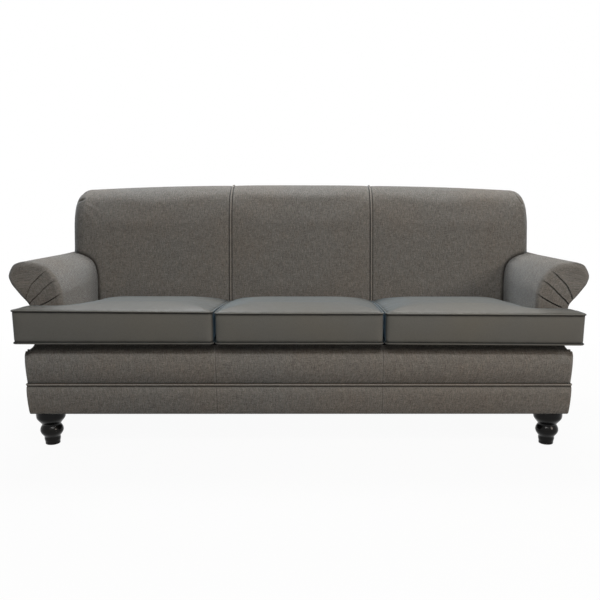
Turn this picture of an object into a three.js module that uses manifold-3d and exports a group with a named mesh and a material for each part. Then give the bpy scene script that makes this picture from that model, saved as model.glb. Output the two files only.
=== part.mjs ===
import * as THREE from 'three';
import { mergeVertices } from 'three/addons/utils/BufferGeometryUtils.js';
import Module from 'manifold-3d';

// English roll arm sofa with three loose seat cushions. Lengths in millimetres.
// X runs to the sitter's left, Y from the front to the rear, Z up. While the pieces are
// made, Y is counted from the fronts of the seat cushions; the finished sofa is then
// centred over the middle of the floor area that it covers.

// Overall sizes
const legHeight = 125;
const railHeight = 175;
const seatWidth = 1650;
const armWidth = 118;
const armFlare = 65;
const middleSeatWidth = 575;
const seatDepth = 526;
const backDepth = 334;
const armRise = 281;
const backRise = 550;
const bandSetback = 44;
const armSetback = 105;
const rearSetback = 50;

// Lean of the inside back and rake of the outside back, as rise over run
const backLeanShare = 0.174;
const rearRakeShare = 0.056;

// Covers, pads and the space left where a cover fits over its frame
const fit = 0.3;
const coverThickness = 10;
const backPadThickness = 80;
const armPadThickness = 20;
const deckThickness = 25;
const dustCoverThickness = 1;
const cordRadius = 3.9;
const cordStandoff = 1;

// Frame boards
const boardThickness = 28;
const armBoardThickness = 26;
const stumpThickness = 24;
const stretcherHeight = 105;
const tackRailHeight = 28;
const topRailThickness = 32;
const topRailWidth = 125;
const rollRise = 130;
const blockLeg = 100;
const blockHeight = 45;

// Seat suspension
const springRise = 45;
const springWidth = 50;
const springWireRadius = 1.9;
const springPitch = 33;
const springsPerSeat = 4;
const tieWireRadius = 1.6;

// Back webbing
const strapCount = 4;
const strapWidth = 60;
const strapThickness = 2;
const strapStart = 85;

// Turned legs and their floor glides
const legTopRadius = 50;
const legInset = 54;
const glideRadius = 17;
const glideThickness = 2;

// Seat cushions
const cushionGap = 3;
const cushionEdgeLift = 16;
const cushionBoxing = 110;
const cushionCrown = 27;
const cushionFall = 25;
const cushionCornerRadius = 16;
const weltRadius = 3.5;
const boxingDrawIn = 1;
const wingReach = 142;
const crownSpread = 190;

// Heights, stacked up from the floor
const railTop = legHeight + railHeight;
const deckBottom = railTop + springRise;
const deckTop = deckBottom + deckThickness;
const armTop = deckTop + armRise;
const backTop = deckTop + backRise;
const ribTop = backTop - rollRise;
const ribRise = ribTop - railTop;
const bandTop = legHeight + railHeight * 0.584;
const borderBottom = bandTop + 2 * cordRadius + fit;
const weltHeight = bandTop + cordRadius + fit / 2;

// Half widths and depths
const seatHalf = seatWidth / 2;
const baseHalf = seatHalf + armWidth;
const frameHalf = baseHalf - coverThickness;
const armHalf = baseHalf + armFlare;
const seamHalf = middleSeatWidth / 2;
const railFront = bandSetback + coverThickness;
const railBack = railFront + boardThickness;
const overallDepth = seatDepth + backDepth;
const rearFoot = overallDepth - rearSetback;
const seatFaceTop = deckTop + backRise * 0.18;

// Depth of the inside back, of the rib fronts behind it and of the outside back at a height
const faceAt = (z) => seatDepth + Math.max(0, z - seatFaceTop) * backLeanShare;
const ribFrontAt = (z) => seatDepth + (z - seatFaceTop) * backLeanShare + backPadThickness;
const rearAt = (z) => rearFoot + (z - legHeight) * rearRakeShare;
const rearFrameAt = (z) => rearAt(z) - coverThickness;
const cavityFrontAt = (z) => ribFrontAt(z) - strapThickness - 2 * fit;

// Materials
const material = (color, roughness, metalness = 0) =>
  new THREE.MeshStandardMaterial({ color, roughness, metalness });
const tweed = () => material(0x5e5750, 0.92);
const vinyl = () => material(0x50514d, 0.42);
const hardwood = () => material(0xb48c5e, 0.7);
const lacquer = () => material(0x0b0b0c, 0.18);
const springSteel = () => material(0x6f7276, 0.38, 0.9);
const deckCloth = () => material(0x33312f, 0.95);
const jute = () => material(0xa38a5c, 0.9);
const cambric = () => material(0x161616, 0.95);
const nylon = () => material(0xcfccc2, 0.5);

const wasm = await Module();
wasm.setup();

const sofa = new THREE.Group();
sofa.name = 'english_roll_arm_sofa';

// Turn a closed surface outward and let its doubled corners go
function closed(geometry) {
  const bare = geometry.clone();
  bare.deleteAttribute('normal');
  bare.deleteAttribute('uv');
  const merged = mergeVertices(bare);
  const p = merged.attributes.position;
  const index = merged.index.array;
  const a = new THREE.Vector3();
  const b = new THREE.Vector3();
  const c = new THREE.Vector3();
  let volume = 0;
  for (let i = 0; i < index.length; i += 3) {
    a.fromBufferAttribute(p, index[i]);
    b.fromBufferAttribute(p, index[i + 1]);
    c.fromBufferAttribute(p, index[i + 2]);
    volume += a.dot(b.cross(c));
  }
  if (volume < 0) {
    for (let i = 0; i < index.length; i += 3) {
      [index[i], index[i + 1]] = [index[i + 1], index[i]];
    }
  }
  return merged;
}

function toManifold(geometry) {
  const g = closed(geometry);
  return new wasm.Manifold(new wasm.Mesh({
    numProp: 3,
    vertProperties: new Float32Array(g.attributes.position.array),
    triVerts: new Uint32Array(g.index.array),
  }));
}

function fromManifold(solid) {
  const mesh = solid.getMesh();
  const geometry = new THREE.BufferGeometry();
  geometry.setAttribute('position', new THREE.BufferAttribute(mesh.vertProperties, mesh.numProp));
  geometry.setIndex(new THREE.BufferAttribute(mesh.triVerts, 1));
  return geometry;
}

const cut = (body, ...tools) => fromManifold(
  tools.reduce((left, tool) => left.subtract(toManifold(tool)), toManifold(body)));
const join = (body, ...others) => fromManifold(
  others.reduce((sum, other) => sum.add(toManifold(other)), toManifold(body)));

function put(name, geometry, look) {
  const g = closed(geometry);
  g.translate(0, -overallDepth / 2, 0);
  const flat = g.toNonIndexed();
  flat.computeVertexNormals();
  const mesh = new THREE.Mesh(flat, look);
  mesh.name = name;
  sofa.add(mesh);
}

// The same piece on the two sides: side is -1 for the viewer's left and 1 for the right
const sides = [['left', -1], ['right', 1]];
function mirrored(geometry, side) {
  return side > 0 ? geometry : geometry.clone().scale(-1, 1, 1);
}
function putPair(name, geometry, look) {
  for (const [word, side] of sides) put(`${name}_${word}`, mirrored(geometry, side), look());
}

// Prisms from an outline: plates stand along X, boards along Y, slabs along Z
const unitX = new THREE.Vector3(1, 0, 0);
const unitY = new THREE.Vector3(0, 1, 0);
const unitZ = new THREE.Vector3(0, 0, 1);
function prism(outline, from, to, across, up, along) {
  const shape = new THREE.Shape(outline.map(([a, b]) => new THREE.Vector2(a, b)));
  const solid = new THREE.ExtrudeGeometry(shape, { depth: to - from, bevelEnabled: false });
  solid.applyMatrix4(new THREE.Matrix4().makeBasis(across, up, along));
  return solid.translate(along.x * from, along.y * from, along.z * from);
}
const plate = (outline, x0, x1) => prism(outline, x0, x1, unitY, unitZ, unitX);
const board = (outline, d0, d1) => prism(outline, d0, d1, unitX, unitZ, unitY);
const slab = (outline, z0, z1) => prism(outline, z0, z1, unitX, unitY, unitZ);
const rectangle = (a0, a1, b0, b1) => [[a0, b0], [a1, b0], [a1, b1], [a0, b1]];
const block = (x0, x1, d0, d1, z0, z1) => slab(rectangle(x0, x1, d0, d1), z0, z1);

// A skin over a row of closed sections with equal numbers of points, capped at both ends
function loft(sections, flatten) {
  const count = sections[0].length;
  const positions = sections.flat().flatMap((p) => [p.x, p.y, p.z]);
  const index = [];
  for (let s = 0; s + 1 < sections.length; s += 1) {
    for (let i = 0; i < count; i += 1) {
      const a = s * count + i;
      const b = s * count + (i + 1) % count;
      index.push(a, b, b + count, a, b + count, a + count);
    }
  }
  const forward = !THREE.ShapeUtils.isClockWise(sections[0].map(flatten));
  const cap = (section, turned) => {
    const start = section * count;
    for (const [a, b, c] of THREE.ShapeUtils.triangulateShape(sections[section].map(flatten), [])) {
      index.push(...(turned ? [a, c, b] : [a, b, c]).map((i) => i + start));
    }
  };
  cap(0, forward);
  cap(sections.length - 1, !forward);
  const geometry = new THREE.BufferGeometry();
  geometry.setAttribute('position', new THREE.Float32BufferAttribute(positions, 3));
  geometry.setIndex(index);
  return geometry;
}
const flattenX = (p) => new THREE.Vector2(p.y, p.z);
const flattenY = (p) => new THREE.Vector2(p.x, p.z);

// A round cord or wire through a row of points
class PointPath extends THREE.Curve {
  constructor(points) {
    super();
    this.points = points;
  }
  getPointAt(u) {
    const at = u * (this.points.length - 1);
    const i = Math.min(Math.floor(at), this.points.length - 2);
    return this.points[i].clone().lerp(this.points[i + 1], at - i);
  }
  getTangentAt(u) {
    const i = Math.round(u * (this.points.length - 1));
    const before = this.points[Math.max(i - 1, 0)];
    const after = this.points[Math.min(i + 1, this.points.length - 1)];
    const here = this.points[i];
    const into = i > 0 ? here.clone().sub(before).normalize() : new THREE.Vector3();
    const out = i < this.points.length - 1
      ? after.clone().sub(here).normalize() : new THREE.Vector3();
    return into.add(out).normalize();
  }
  getPoint(u) {
    return this.getPointAt(u);
  }
}
function cord(points, radius, faces) {
  const ring = Array.from({ length: faces }, (_, i) => {
    const turn = (i + 0.5) * 2 * Math.PI / faces;
    return new THREE.Vector2(radius * Math.cos(turn), radius * Math.sin(turn));
  });
  return new THREE.ExtrudeGeometry(new THREE.Shape(ring), {
    steps: points.length - 1,
    extrudePath: new PointPath(points),
    bevelEnabled: false,
  });
}

// Base frame: front, rear and side rails, the seat back rail and the stretchers below it
const rearInnerAt = (z) => rearFrameAt(z) - boardThickness;
const railInner = frameHalf - boardThickness;
const seatBackFront = ribFrontAt(railTop);
const stretcherTop = legHeight + stretcherHeight;
const rakedBetween = (front, z0, z1, rearEnd) =>
  [[front, z0], [rearEnd(z0), z0], [rearEnd(z1), z1], [front, z1]];

put('front_rail', block(-frameHalf, frameHalf, railFront, railBack, legHeight, railTop), hardwood());
put('rear_rail', plate([
  [rearInnerAt(legHeight), legHeight],
  [rearFrameAt(legHeight), legHeight],
  [rearFrameAt(railTop), railTop],
  [rearInnerAt(railTop), railTop],
], -frameHalf, frameHalf), hardwood());
putPair('side_rail',
  plate(rakedBetween(railBack, legHeight, railTop, rearInnerAt), railInner, frameHalf), hardwood);
put('seat_back_rail', block(-railInner, railInner,
  seatBackFront, seatBackFront + boardThickness, stretcherTop, railTop), hardwood());
putPair('seat_stretcher',
  plate(rakedBetween(railBack, legHeight, stretcherTop, rearInnerAt),
    seamHalf - boardThickness / 2, seamHalf + boardThickness / 2), hardwood);
putPair('arm_tack_rail', block(
  seatHalf + armPadThickness, seatHalf + armPadThickness + boardThickness,
  railBack, seatBackFront, railTop - tackRailHeight, railTop), hardwood);

// Corner blocks, which take the leg bolts
const cornerBlock = (corner, reach) => slab([
  [railInner, corner],
  [railInner - blockLeg, corner],
  [railInner, corner + reach],
], legHeight, legHeight + blockHeight);
putPair('corner_block_front', cornerBlock(railBack, blockLeg), hardwood);
putPair('corner_block_rear', cornerBlock(rearInnerAt(legHeight), -blockLeg), hardwood);

// Turned legs: radius and height as shares of the top radius and of the leg height
const legProfileShare = [
  [0.49, 0], [0.508, 0.02], [0.51, 0.08], [0.545, 0.12], [0.558, 0.165], [0.545, 0.205],
  [0.565, 0.238], [0.62, 0.268], [0.724, 0.328], [0.786, 0.39], [0.8, 0.425], [0.77, 0.482],
  [0.7, 0.542], [0.655, 0.575], [0.655, 0.6], [0.69, 0.632], [0.81, 0.693], [0.92, 0.75],
  [0.975, 0.79], [0.997, 0.83], [1, 0.9], [1, 1],
];
const turnedHeight = legHeight - glideThickness;
const legFaces = 20;
function turnedLeg() {
  const side = legProfileShare.map(([r, h]) =>
    new THREE.Vector2(r * legTopRadius, glideThickness + h * turnedHeight));
  const foot = new THREE.Vector2(0, glideThickness);
  const top = new THREE.Vector2(0, legHeight);
  return new THREE.LatheGeometry([foot, ...side, top], legFaces).rotateX(Math.PI / 2);
}
const legX = baseHalf - legInset;
const legFrontDepth = bandSetback + legTopRadius;
const legRearDepth = rearFoot - legTopRadius;
for (const [word, depth] of [['front', legFrontDepth], ['rear', legRearDepth]]) {
  putPair(`leg_${word}`, turnedLeg().translate(legX, depth, 0), lacquer);
  const glide = new THREE.CylinderGeometry(glideRadius, glideRadius, glideThickness, legFaces);
  glide.rotateX(Math.PI / 2).translate(legX, depth, glideThickness / 2);
  putPair(`glide_${word}`, glide, nylon);
}

// Back ribs: two at the ends and two behind the seams, each opened to a post and a rear strut
const ribBar = ribRise * 0.125;
const ribOutline = rakedBetween(0, railTop, ribTop, rearFrameAt)
  .map(([d, z]) => [d === 0 ? ribFrontAt(z) : d, z]);
const ribWindow = [
  [ribFrontAt(railTop + ribBar) + ribBar, railTop + ribBar],
  [rearFrameAt(railTop + ribBar) - ribBar, railTop + ribBar],
  [rearFrameAt(ribTop - ribBar) - ribBar, ribTop - ribBar],
  [ribFrontAt(ribTop - ribBar) + ribBar, ribTop - ribBar],
];
function rib(x0, x1) {
  const margin = boardThickness / 2;
  return cut(plate(ribOutline, x0, x1), plate(ribWindow, x0 - margin, x1 + margin));
}
putPair('back_end_rib', rib(railInner, frameHalf), hardwood);
putPair('back_seam_rib',
  rib(seamHalf - boardThickness / 2, seamHalf + boardThickness / 2), hardwood);

const topRailInset = ribBar * 0.36;
const topRailBack = rearFrameAt(ribTop) - topRailInset;
const topRailFront = topRailBack - topRailWidth;
const topRailTop = ribTop + topRailThickness;
put('back_top_rail',
  block(-frameHalf, frameHalf, topRailFront, topRailBack, ribTop, topRailTop), hardwood());

// Jute webbing across the front edges of the ribs
const lastStrap = ribTop - 1.3 * strapWidth;
for (let i = 0; i < strapCount; i += 1) {
  const z0 = THREE.MathUtils.lerp(deckTop + strapStart, lastStrap, i / (strapCount - 1));
  const z1 = z0 + strapWidth;
  put(`back_webbing_${i + 1}`, plate([
    [ribFrontAt(z0) - fit - strapThickness, z0],
    [ribFrontAt(z0) - fit, z0],
    [ribFrontAt(z1) - fit, z1],
    [ribFrontAt(z1) - fit - strapThickness, z1],
  ], -frameHalf, frameHalf), jute());
}

// Sinuous seat springs, clipped to the rail tops and arched up to the deck
const clipReach = boardThickness * 0.3;
const springStart = railBack - clipReach;
const springEnd = seatBackFront + clipReach;
const barCount = 2 * Math.round((springEnd - springStart) / springPitch / 2);
const springArch = springRise - fit - 2 * springWireRadius;
const wireFaces = 4;
const springPoint = (x, share) => new THREE.Vector3(
  x,
  springStart + share * (springEnd - springStart),
  railTop + springWireRadius + springArch * (1 - (2 * share - 1) ** 2),
);
const loopReach = springWidth * 0.2;
function sinuousSpring(x) {
  const points = [];
  for (let bar = 0; bar < barCount; bar += 1) {
    const side = bar % 2 ? -1 : 1;
    const near = springWidth / 2 - loopReach;
    const share = bar / (barCount - 1);
    points.push(springPoint(x - side * near, share));
    points.push(springPoint(x + side * near, share));
    if (bar < barCount - 1) {
      points.push(springPoint(x + side * (near + loopReach), share + 0.5 / (barCount - 1)));
    }
  }
  return cord(points, springWireRadius, wireFaces);
}
function springUnit(x0, x1) {
  const gap = (x1 - x0) / springsPerSeat;
  const centres = Array.from({ length: springsPerSeat }, (_, i) => x0 + (i + 0.5) * gap);
  const [first, ...others] = centres.map(sinuousSpring);
  const ties = [1, 2].map((third) => {
    const bar = Math.round(third * (barCount - 1) / 3);
    const drop = new THREE.Vector3(0, 0, -springWireRadius - tieWireRadius / 2);
    const reach = springWidth / 2;
    const ends = [centres[0] - reach, centres[springsPerSeat - 1] + reach];
    return cord(ends.map((x) => springPoint(x, bar / (barCount - 1)).add(drop)),
      tieWireRadius, wireFaces);
  });
  return join(first, ...others, ...ties);
}
const springSide = seatHalf + armPadThickness;
put('seat_springs_centre', springUnit(-seamHalf, seamHalf), springSteel());
putPair('seat_springs', springUnit(seamHalf, springSide), springSteel);

// Arm outline as shares: of the arm width, of the flare beyond it and of the arm's rise.
// Going round from the bottom inside, over the roll, to the bottom outside.
const armFrontShare = [
  [0, 0, 0], [0, 0, 0.51], [0.009, 0, 0.634], [0.109, 0, 0.768], [0.243, 0, 0.866],
  [0.435, 0, 0.951], [0.722, 0, 0.995], [1, 0.159, 1], [1, 0.476, 0.986], [1, 0.698, 0.961],
  [1, 0.841, 0.915], [1, 0.952, 0.863], [1, 1, 0.817], [1, 0.952, 0.768], [1, 0.873, 0.722],
  [1, 0.73, 0.673], [1, 0.413, 0.577], [1, 0.063, 0.479], [1, 0, 0.437], [1, 0, 0],
];
// Against the back the roll is a little lower and its crest lies further in
const armRearShare = [
  [0, 0, 0], [0.005, 0, 0.5], [0.02, 0, 0.66], [0.07, 0, 0.775], [0.16, 0, 0.86],
  [0.32, 0, 0.92], [0.58, 0, 0.965], [0.9, 0, 0.985], [1, 0.22, 0.976], [1, 0.5, 0.955],
  [1, 0.76, 0.915], [1, 0.94, 0.858], [1, 1, 0.81], ...armFrontShare.slice(13),
];
const armFoot = deckTop + fit;
const armPoint = ([width, flare, rise]) => new THREE.Vector2(
  seatHalf + width * armWidth + flare * armFlare,
  armFoot + rise * (armTop - armFoot),
);
const armOutline = (t) => armFrontShare.map((share, i) =>
  armPoint(share).lerp(armPoint(armRearShare[i]), t));

// An outline moved inward by a distance, each corner along the mean of its two normals
function inset(outline, distance) {
  return outline.map((p, i) => {
    const before = outline[(i + outline.length - 1) % outline.length];
    const after = outline[(i + 1) % outline.length];
    const a = p.clone().sub(before).normalize();
    const b = after.clone().sub(p).normalize();
    const normal = new THREE.Vector2(a.y + b.y, -a.x - b.x).normalize();
    const stretch = Math.max(normal.dot(new THREE.Vector2(a.y, -a.x)), 0.5);
    return p.clone().addScaledVector(normal, distance / stretch);
  });
}

const armRound = armPadThickness * 0.6;
const armTaperEnd = seatDepth;
const armShareAt = (d) => THREE.MathUtils.clamp((d - armSetback) / (armTaperEnd - armSetback), 0, 1);
function armSolid() {
  const stations = [0.12, 0.4, 0.7, 1].map((share) => {
    const turn = share * Math.PI / 2;
    return [armSetback + armRound * (1 - Math.cos(turn)), armRound * (1 - Math.sin(turn))];
  });
  const middle = [1 / 3, 2 / 3, 1].map((share) =>
    [THREE.MathUtils.lerp(armSetback, armTaperEnd, share), 0]);
  const sections = [...stations, ...middle].map(([d, drawn]) =>
    inset(armOutline(armShareAt(d)), drawn).map((p) => new THREE.Vector3(p.x, d, p.y)));
  sections.push(armOutline(1).map((p) => new THREE.Vector3(p.x, rearAt(p.y), p.y)));
  return loft(sections, flattenY);
}

// Arm board: tapers from the front stump to the outside of the end rib, then runs to the rear
const armRollPad = armPadThickness * 1.6;
const armBoardTop = armTop - armRollPad;
const armBoardBottom = armBoardTop - armBoardThickness;
const armBoardOuter = armHalf - armPadThickness;
const armBoardInner = seatHalf + armWidth * 0.52;
const armBoardAtRib = frameHalf + fit;
const stumpFront = armSetback + armPadThickness + fit;
const stumpBack = stumpFront + stumpThickness;
const armRearEnd = rearFrameAt(armBoardBottom) - fit;

// Hollow of the arm cover: closed at the front and rear, open below the roll and at the bottom
function armHollowAt(d) {
  const t = THREE.MathUtils.clamp((d - stumpFront) / (armTaperEnd - stumpFront), 0, 1);
  const low = armFoot - coverThickness;
  const far = armHalf + coverThickness;
  const mix = (a, b) => THREE.MathUtils.lerp(a, b, t);
  return [
    [seatHalf + armPadThickness, low],
    [seatHalf + armPadThickness * mix(1, 1.2), armFoot + armRise * mix(0.53, 0.352)],
    [mix(armBoardInner, armBoardAtRib) - fit, armBoardTop + fit],
    [armBoardOuter + fit, armBoardTop + fit],
    [armBoardOuter + fit, armBoardBottom - fit],
    [far, armBoardBottom - fit],
    [far, low],
  ];
}
function armHollow() {
  const flat = (d) => armHollowAt(d).map(([x, z]) => new THREE.Vector3(x, d, z));
  const end = armHollowAt(armTaperEnd).map(([x, z]) => new THREE.Vector3(x, rearFrameAt(z), z));
  return loft([flat(stumpFront - fit), flat(stumpBack), flat(armTaperEnd), end], flattenY);
}

putPair('arm_board', slab([
  [armBoardInner, stumpFront],
  [armBoardOuter, stumpFront],
  [armBoardOuter, armRearEnd],
  [armBoardAtRib, armRearEnd],
  [armBoardAtRib, armTaperEnd],
], armBoardBottom, armBoardTop), hardwood);

// Front stump: follows the arm outline inside its covers and carries the arm board
const [, [kneeX, kneeZ], [innerX, innerZ]] = armHollowAt(stumpBack);
const stumpTopInner = THREE.MathUtils.lerp(kneeX, innerX,
  (armBoardBottom - kneeZ) / (innerZ - kneeZ));
const stumpOuter = inset(armOutline(0), coverThickness + fit).slice(14, 19);
putPair('arm_stump', board([
  [kneeX + fit, railTop],
  [kneeX + fit, kneeZ],
  [stumpTopInner + fit, armBoardBottom],
  [armBoardOuter, armBoardBottom],
  ...stumpOuter.map((p) => [p.x, p.y]),
  [stumpOuter[4].x, railTop],
], stumpFront, stumpBack), hardwood);

// Back outline at one place across the sofa, going up the face, over the roll and down to the
// top of the outside back. Roll points are shares of the way from the face to the rear and from
// the roll's start up to the crest; each has the shares by which the rounded end draws it in.
const backFaceShare = [
  [0, 0, 0], [0.18, 0, 0], [0.38, 0.7, 0], [0.5, 1, 0], [0.63, 1, 0],
];
const backRollShare = [
  [0, 0, 1, 0], [0.057, 0.356, 0.95, 0.3], [0.15, 0.655, 0.75, 0.65], [0.293, 0.868, 0.45, 0.9],
  [0.457, 0.975, 0.1, 1], [0.611, 1, 0, 1], [0.771, 0.947, -0.1, 0.95],
  [0.9, 0.783, -0.3, 0.75], [0.975, 0.534, -0.4, 0.4], [1, 0.249, -0.4, 0.12],
  [0.986, -0.04, -0.2, 0],
];
const backFoot = deckTop + fit;
const rollBase = deckTop + backRise * 0.745;
const outsideBackTop = ribTop - ribRise * 0.09;
const endRadius = 75;
const endDrop = 92;
const endSquareness = 1.5;
const crownDrop = 19;
const seamDip = 6.5;
const crownStart = deckTop + backRise / 2;

function backOutline(x, drawn = 0, dip = 0) {
  const front = backFaceShare.map(([rise, inward]) => {
    const z = backFoot + rise * backRise;
    return new THREE.Vector2(faceAt(z) + inward * drawn * endRadius, z);
  });
  const roll = backRollShare.map(([run, rise, inward, down]) => new THREE.Vector2(
    THREE.MathUtils.lerp(faceAt(rollBase), overallDepth, run) + inward * drawn * endRadius,
    THREE.MathUtils.lerp(rollBase, backTop, rise) - down * drawn ** endSquareness * endDrop,
  ));
  const sunk = crownDrop * Math.min(1, x / (baseHalf - endRadius)) ** 2;
  const curve = [...front, ...roll];
  for (const p of curve) {
    const share = (p.y - crownStart) / (backTop - crownStart);
    p.y -= sunk * THREE.MathUtils.clamp(share, 0, 1);
  }
  const hem = [
    [rearAt(outsideBackTop), outsideBackTop + fit],
    [rearFrameAt(outsideBackTop) - fit, outsideBackTop + fit],
    [rearFrameAt(backFoot) - fit, backFoot],
  ].map(([d, z]) => new THREE.Vector2(d, z));
  const ring = [...curve, ...hem];
  const sunkIn = inset(ring, dip);
  if (dip >= 0) sunkIn[0] = ring[0].clone().setX(ring[0].x + dip);
  return ring.map((p, i) => (i < curve.length ? sunkIn[i] : p));
}
const backSection = (x, drawn, dip) =>
  backOutline(Math.abs(x), drawn, dip).map((p) => new THREE.Vector3(x, p.x, p.y));

// Room for the ribs, the top rail and the webbing behind the pads, open at the bottom and rear
function backHollow(x0, x1) {
  const low = backFoot - coverThickness;
  const behind = coverThickness * 3;
  return plate([
    [cavityFrontAt(low), low],
    [cavityFrontAt(ribTop), ribTop + fit],
    [topRailFront - fit, topRailTop + fit],
    [topRailBack + fit, topRailTop + fit],
    [rearFrameAt(ribTop) + fit, ribTop + fit],
    [rearFrameAt(outsideBackTop) + fit, outsideBackTop],
    [rearAt(outsideBackTop) + behind, outsideBackTop],
    [rearAt(low) + behind, low],
  ], x0, x1);
}
const seamEdge = fit / 2;
const seamShoulder = seamDip;
const seamEase = seamDip * 4;
const endTurns = [0, 26, 49, 74].map(THREE.MathUtils.degToRad);
const endSections = (x1, grown) => [
  ...endTurns.map((turn) =>
    backSection(x1 - endRadius * (1 - Math.sin(turn)), 1 - Math.cos(turn), -grown)),
  backSection(x1 + grown, 1 - Math.cos(endTurns[3]) * 0.8, -grown),
];
function backPanel(x0, x1) {
  const dips = [[seamEdge, seamDip], [seamShoulder, seamDip * 0.23], [seamEase, 0]];
  const sections = dips.map(([run, dip]) => backSection(x0 + run, 0, dip));
  if (x1 <= seamHalf) {
    sections.push(backSection(0, 0, 0));
    sections.push(...dips.reverse().map(([run, dip]) => backSection(x1 - run, 0, dip)));
    return cut(loft(sections, flattenX), backHollow(x0, x1));
  }
  const roundFrom = x1 - endRadius;
  for (const share of [1 / 3, 2 / 3]) {
    sections.push(backSection(THREE.MathUtils.lerp(x0, roundFrom, share), 0, 0));
  }
  sections.push(...endSections(x1, 0));
  const armNotch = block(frameHalf - fit, baseHalf + coverThickness,
    seatDepth - coverThickness, overallDepth, backFoot - coverThickness, armBoardTop + fit);
  return cut(loft(sections, flattenX), backHollow(x0, frameHalf + fit), armNotch);
}
put('inside_back_centre', backPanel(-seamHalf, seamHalf), tweed());
putPair('inside_back', backPanel(seamHalf, baseHalf), tweed);

// Welt cords in the two seams, lying on the surface that the panels dip away from
const cordFaces = 8;
const weltPath = backOutline(seamHalf).slice(0, backFaceShare.length + backRollShare.length);
putPair('back_welt',
  cord(weltPath.map((p) => new THREE.Vector3(seamHalf, p.x, p.y)), cordRadius, cordFaces), tweed);

put('outside_back', plate([
  [rearFrameAt(legHeight) + fit, legHeight],
  [rearAt(legHeight), legHeight],
  [rearAt(outsideBackTop), outsideBackTop],
  [rearFrameAt(outsideBackTop) + fit, outsideBackTop],
], -baseHalf, baseHalf), tweed());

// Pleats: the cover is folded from the outer edge of the arm front up to the roll
const pleatShare = [
  [[1, 0.12, 0.53], [1, 0.05, 0.59], [0.95, 0, 0.657], [0.86, 0, 0.72], [0.73, 0, 0.775],
    [0.55, 0, 0.845], [0.38, 0, 0.9]],
  [[1, 0, 0.47], [0.87, 0, 0.525], [0.7, 0, 0.59], [0.55, 0, 0.652], [0.34, 0, 0.73],
    [0.2, 0, 0.765], [0.1, 0, 0.775]],
  [[0.78, 0, 0.44], [0.66, 0, 0.46], [0.4, 0, 0.513], [0.15, 0, 0.574], [0.01, 0, 0.612]],
];
const pleatRadius = coverThickness * 0.35;
const pleats = pleatShare.map((line) => cord(
  line.map((share) => {
    const p = armPoint(share);
    return new THREE.Vector3(p.x, armSetback, p.y);
  }), pleatRadius, wireFaces));

// The arm stops against the back, whose rounded end it follows with a close fit
const behindBack = overallDepth + coverThickness;
const backForm = loft([backSection(seamHalf, 0, -fit), ...endSections(baseHalf, fit)], flattenX);
const backRoom = block(0, baseHalf + fit,
  cavityFrontAt(armTop), behindBack, armFoot - coverThickness, armTop + coverThickness);
putPair('arm', cut(armSolid(), armHollow(), backForm, backRoom, ...pleats), tweed);

// Outside arm: a side panel of the base, with the panel that rises from it to below the roll
const sideEnd = (z) => rearFrameAt(z) - fit;
const borderDepth = 26;
const borderBack = bandSetback + borderDepth;
const deckFront = borderBack + fit;
function outsideArm() {
  const lower = [
    [frameHalf, borderBottom],
    [baseHalf, borderBottom],
    [baseHalf, deckBottom + deckThickness * 0.2],
    [baseHalf - coverThickness * 0.25, deckBottom + deckThickness * 0.52],
    [frameHalf, deckBottom + deckThickness * 0.72],
  ].map(([x, z]) => new THREE.Vector2(x, z));
  const ring = armOutline(0);
  const drawn = inset(ring, coverThickness);
  const topEdge = (line) => {
    const [above, below] = [line[12], line[13]];
    const z = armBoardBottom - 2 * fit;
    return above.clone().lerp(below, (above.y - z) / (above.y - below.y));
  };
  const foot = deckBottom - deckThickness;
  const upper = [
    new THREE.Vector2(frameHalf, foot),
    ...drawn.slice(13, 19).reverse(),
    topEdge(drawn),
    topEdge(ring),
    ...ring.slice(13, 19),
    new THREE.Vector2(baseHalf, foot),
  ];
  const run = (outline, front) => loft([
    outline.map((p) => new THREE.Vector3(p.x, front, p.y)),
    outline.map((p) => new THREE.Vector3(p.x, sideEnd(p.y), p.y)),
  ], flattenY);
  return join(run(lower, deckFront), run(upper, stumpFront));
}
putPair('outside_arm', outsideArm(), tweed);

// Base: padded front border over the rail, bands below the welt, and the welt
const borderShare = [
  [0, 0], [0.27, 0.2], [0.75, 0.47], [1, 0.67], [1, 0.78], [0.77, 0.875], [0.2, 0.95],
  [-0.67, 0.993],
];
const borderSwell = 14.5;
const borderMiddle = (borderBottom + deckTop) / 2;
const borderCurve = borderShare.map(([swell, rise]) => [
  bandSetback - swell * borderSwell,
  THREE.MathUtils.lerp(borderBottom, deckTop, rise),
]);
const borderRing = [
  ...borderCurve,
  [borderBack, deckTop],
  [borderBack, railTop + fit],
  [railFront - fit, railTop + fit],
  [railFront - fit, borderBottom],
].map(([d, z]) => new THREE.Vector2(d, z));
function frontBorder() {
  const drawn = inset(borderRing, coverThickness * 0.5);
  const section = (x, share, fall) => borderRing.map((p, i) => {
    const q = i > 0 && i < borderCurve.length ? p.clone().lerp(drawn[i], share) : p.clone();
    q.y -= fall * deckThickness * Math.max(0, (q.y - borderMiddle) / (deckTop - borderMiddle));
    return new THREE.Vector3(x, q.x, q.y);
  });
  const ease = coverThickness * 0.4;
  const half = [[baseHalf, 1, 1], [baseHalf - ease, 0.3, 0.62], [baseHalf - 3 * ease, 0, 0.28],
    [baseHalf - 7 * ease, 0, 0]];
  const cheek = (side) => block(
    side > 0 ? frameHalf + fit : -baseHalf, side > 0 ? baseHalf : -frameHalf - fit,
    railFront - coverThickness / 2, borderBack, borderBottom, railTop + coverThickness);
  return join(loft([
    ...half.map(([x, share, fall]) => section(-x, share, fall)),
    ...half.reverse().map(([x, share, fall]) => section(x, share, fall)),
  ], flattenX), cheek(-1), cheek(1));
}
put('front_border', frontBorder(), tweed());
const bandHalf = baseHalf - coverThickness * 0.1;
const bandTopHalf = baseHalf + coverThickness * 0.35;
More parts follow.
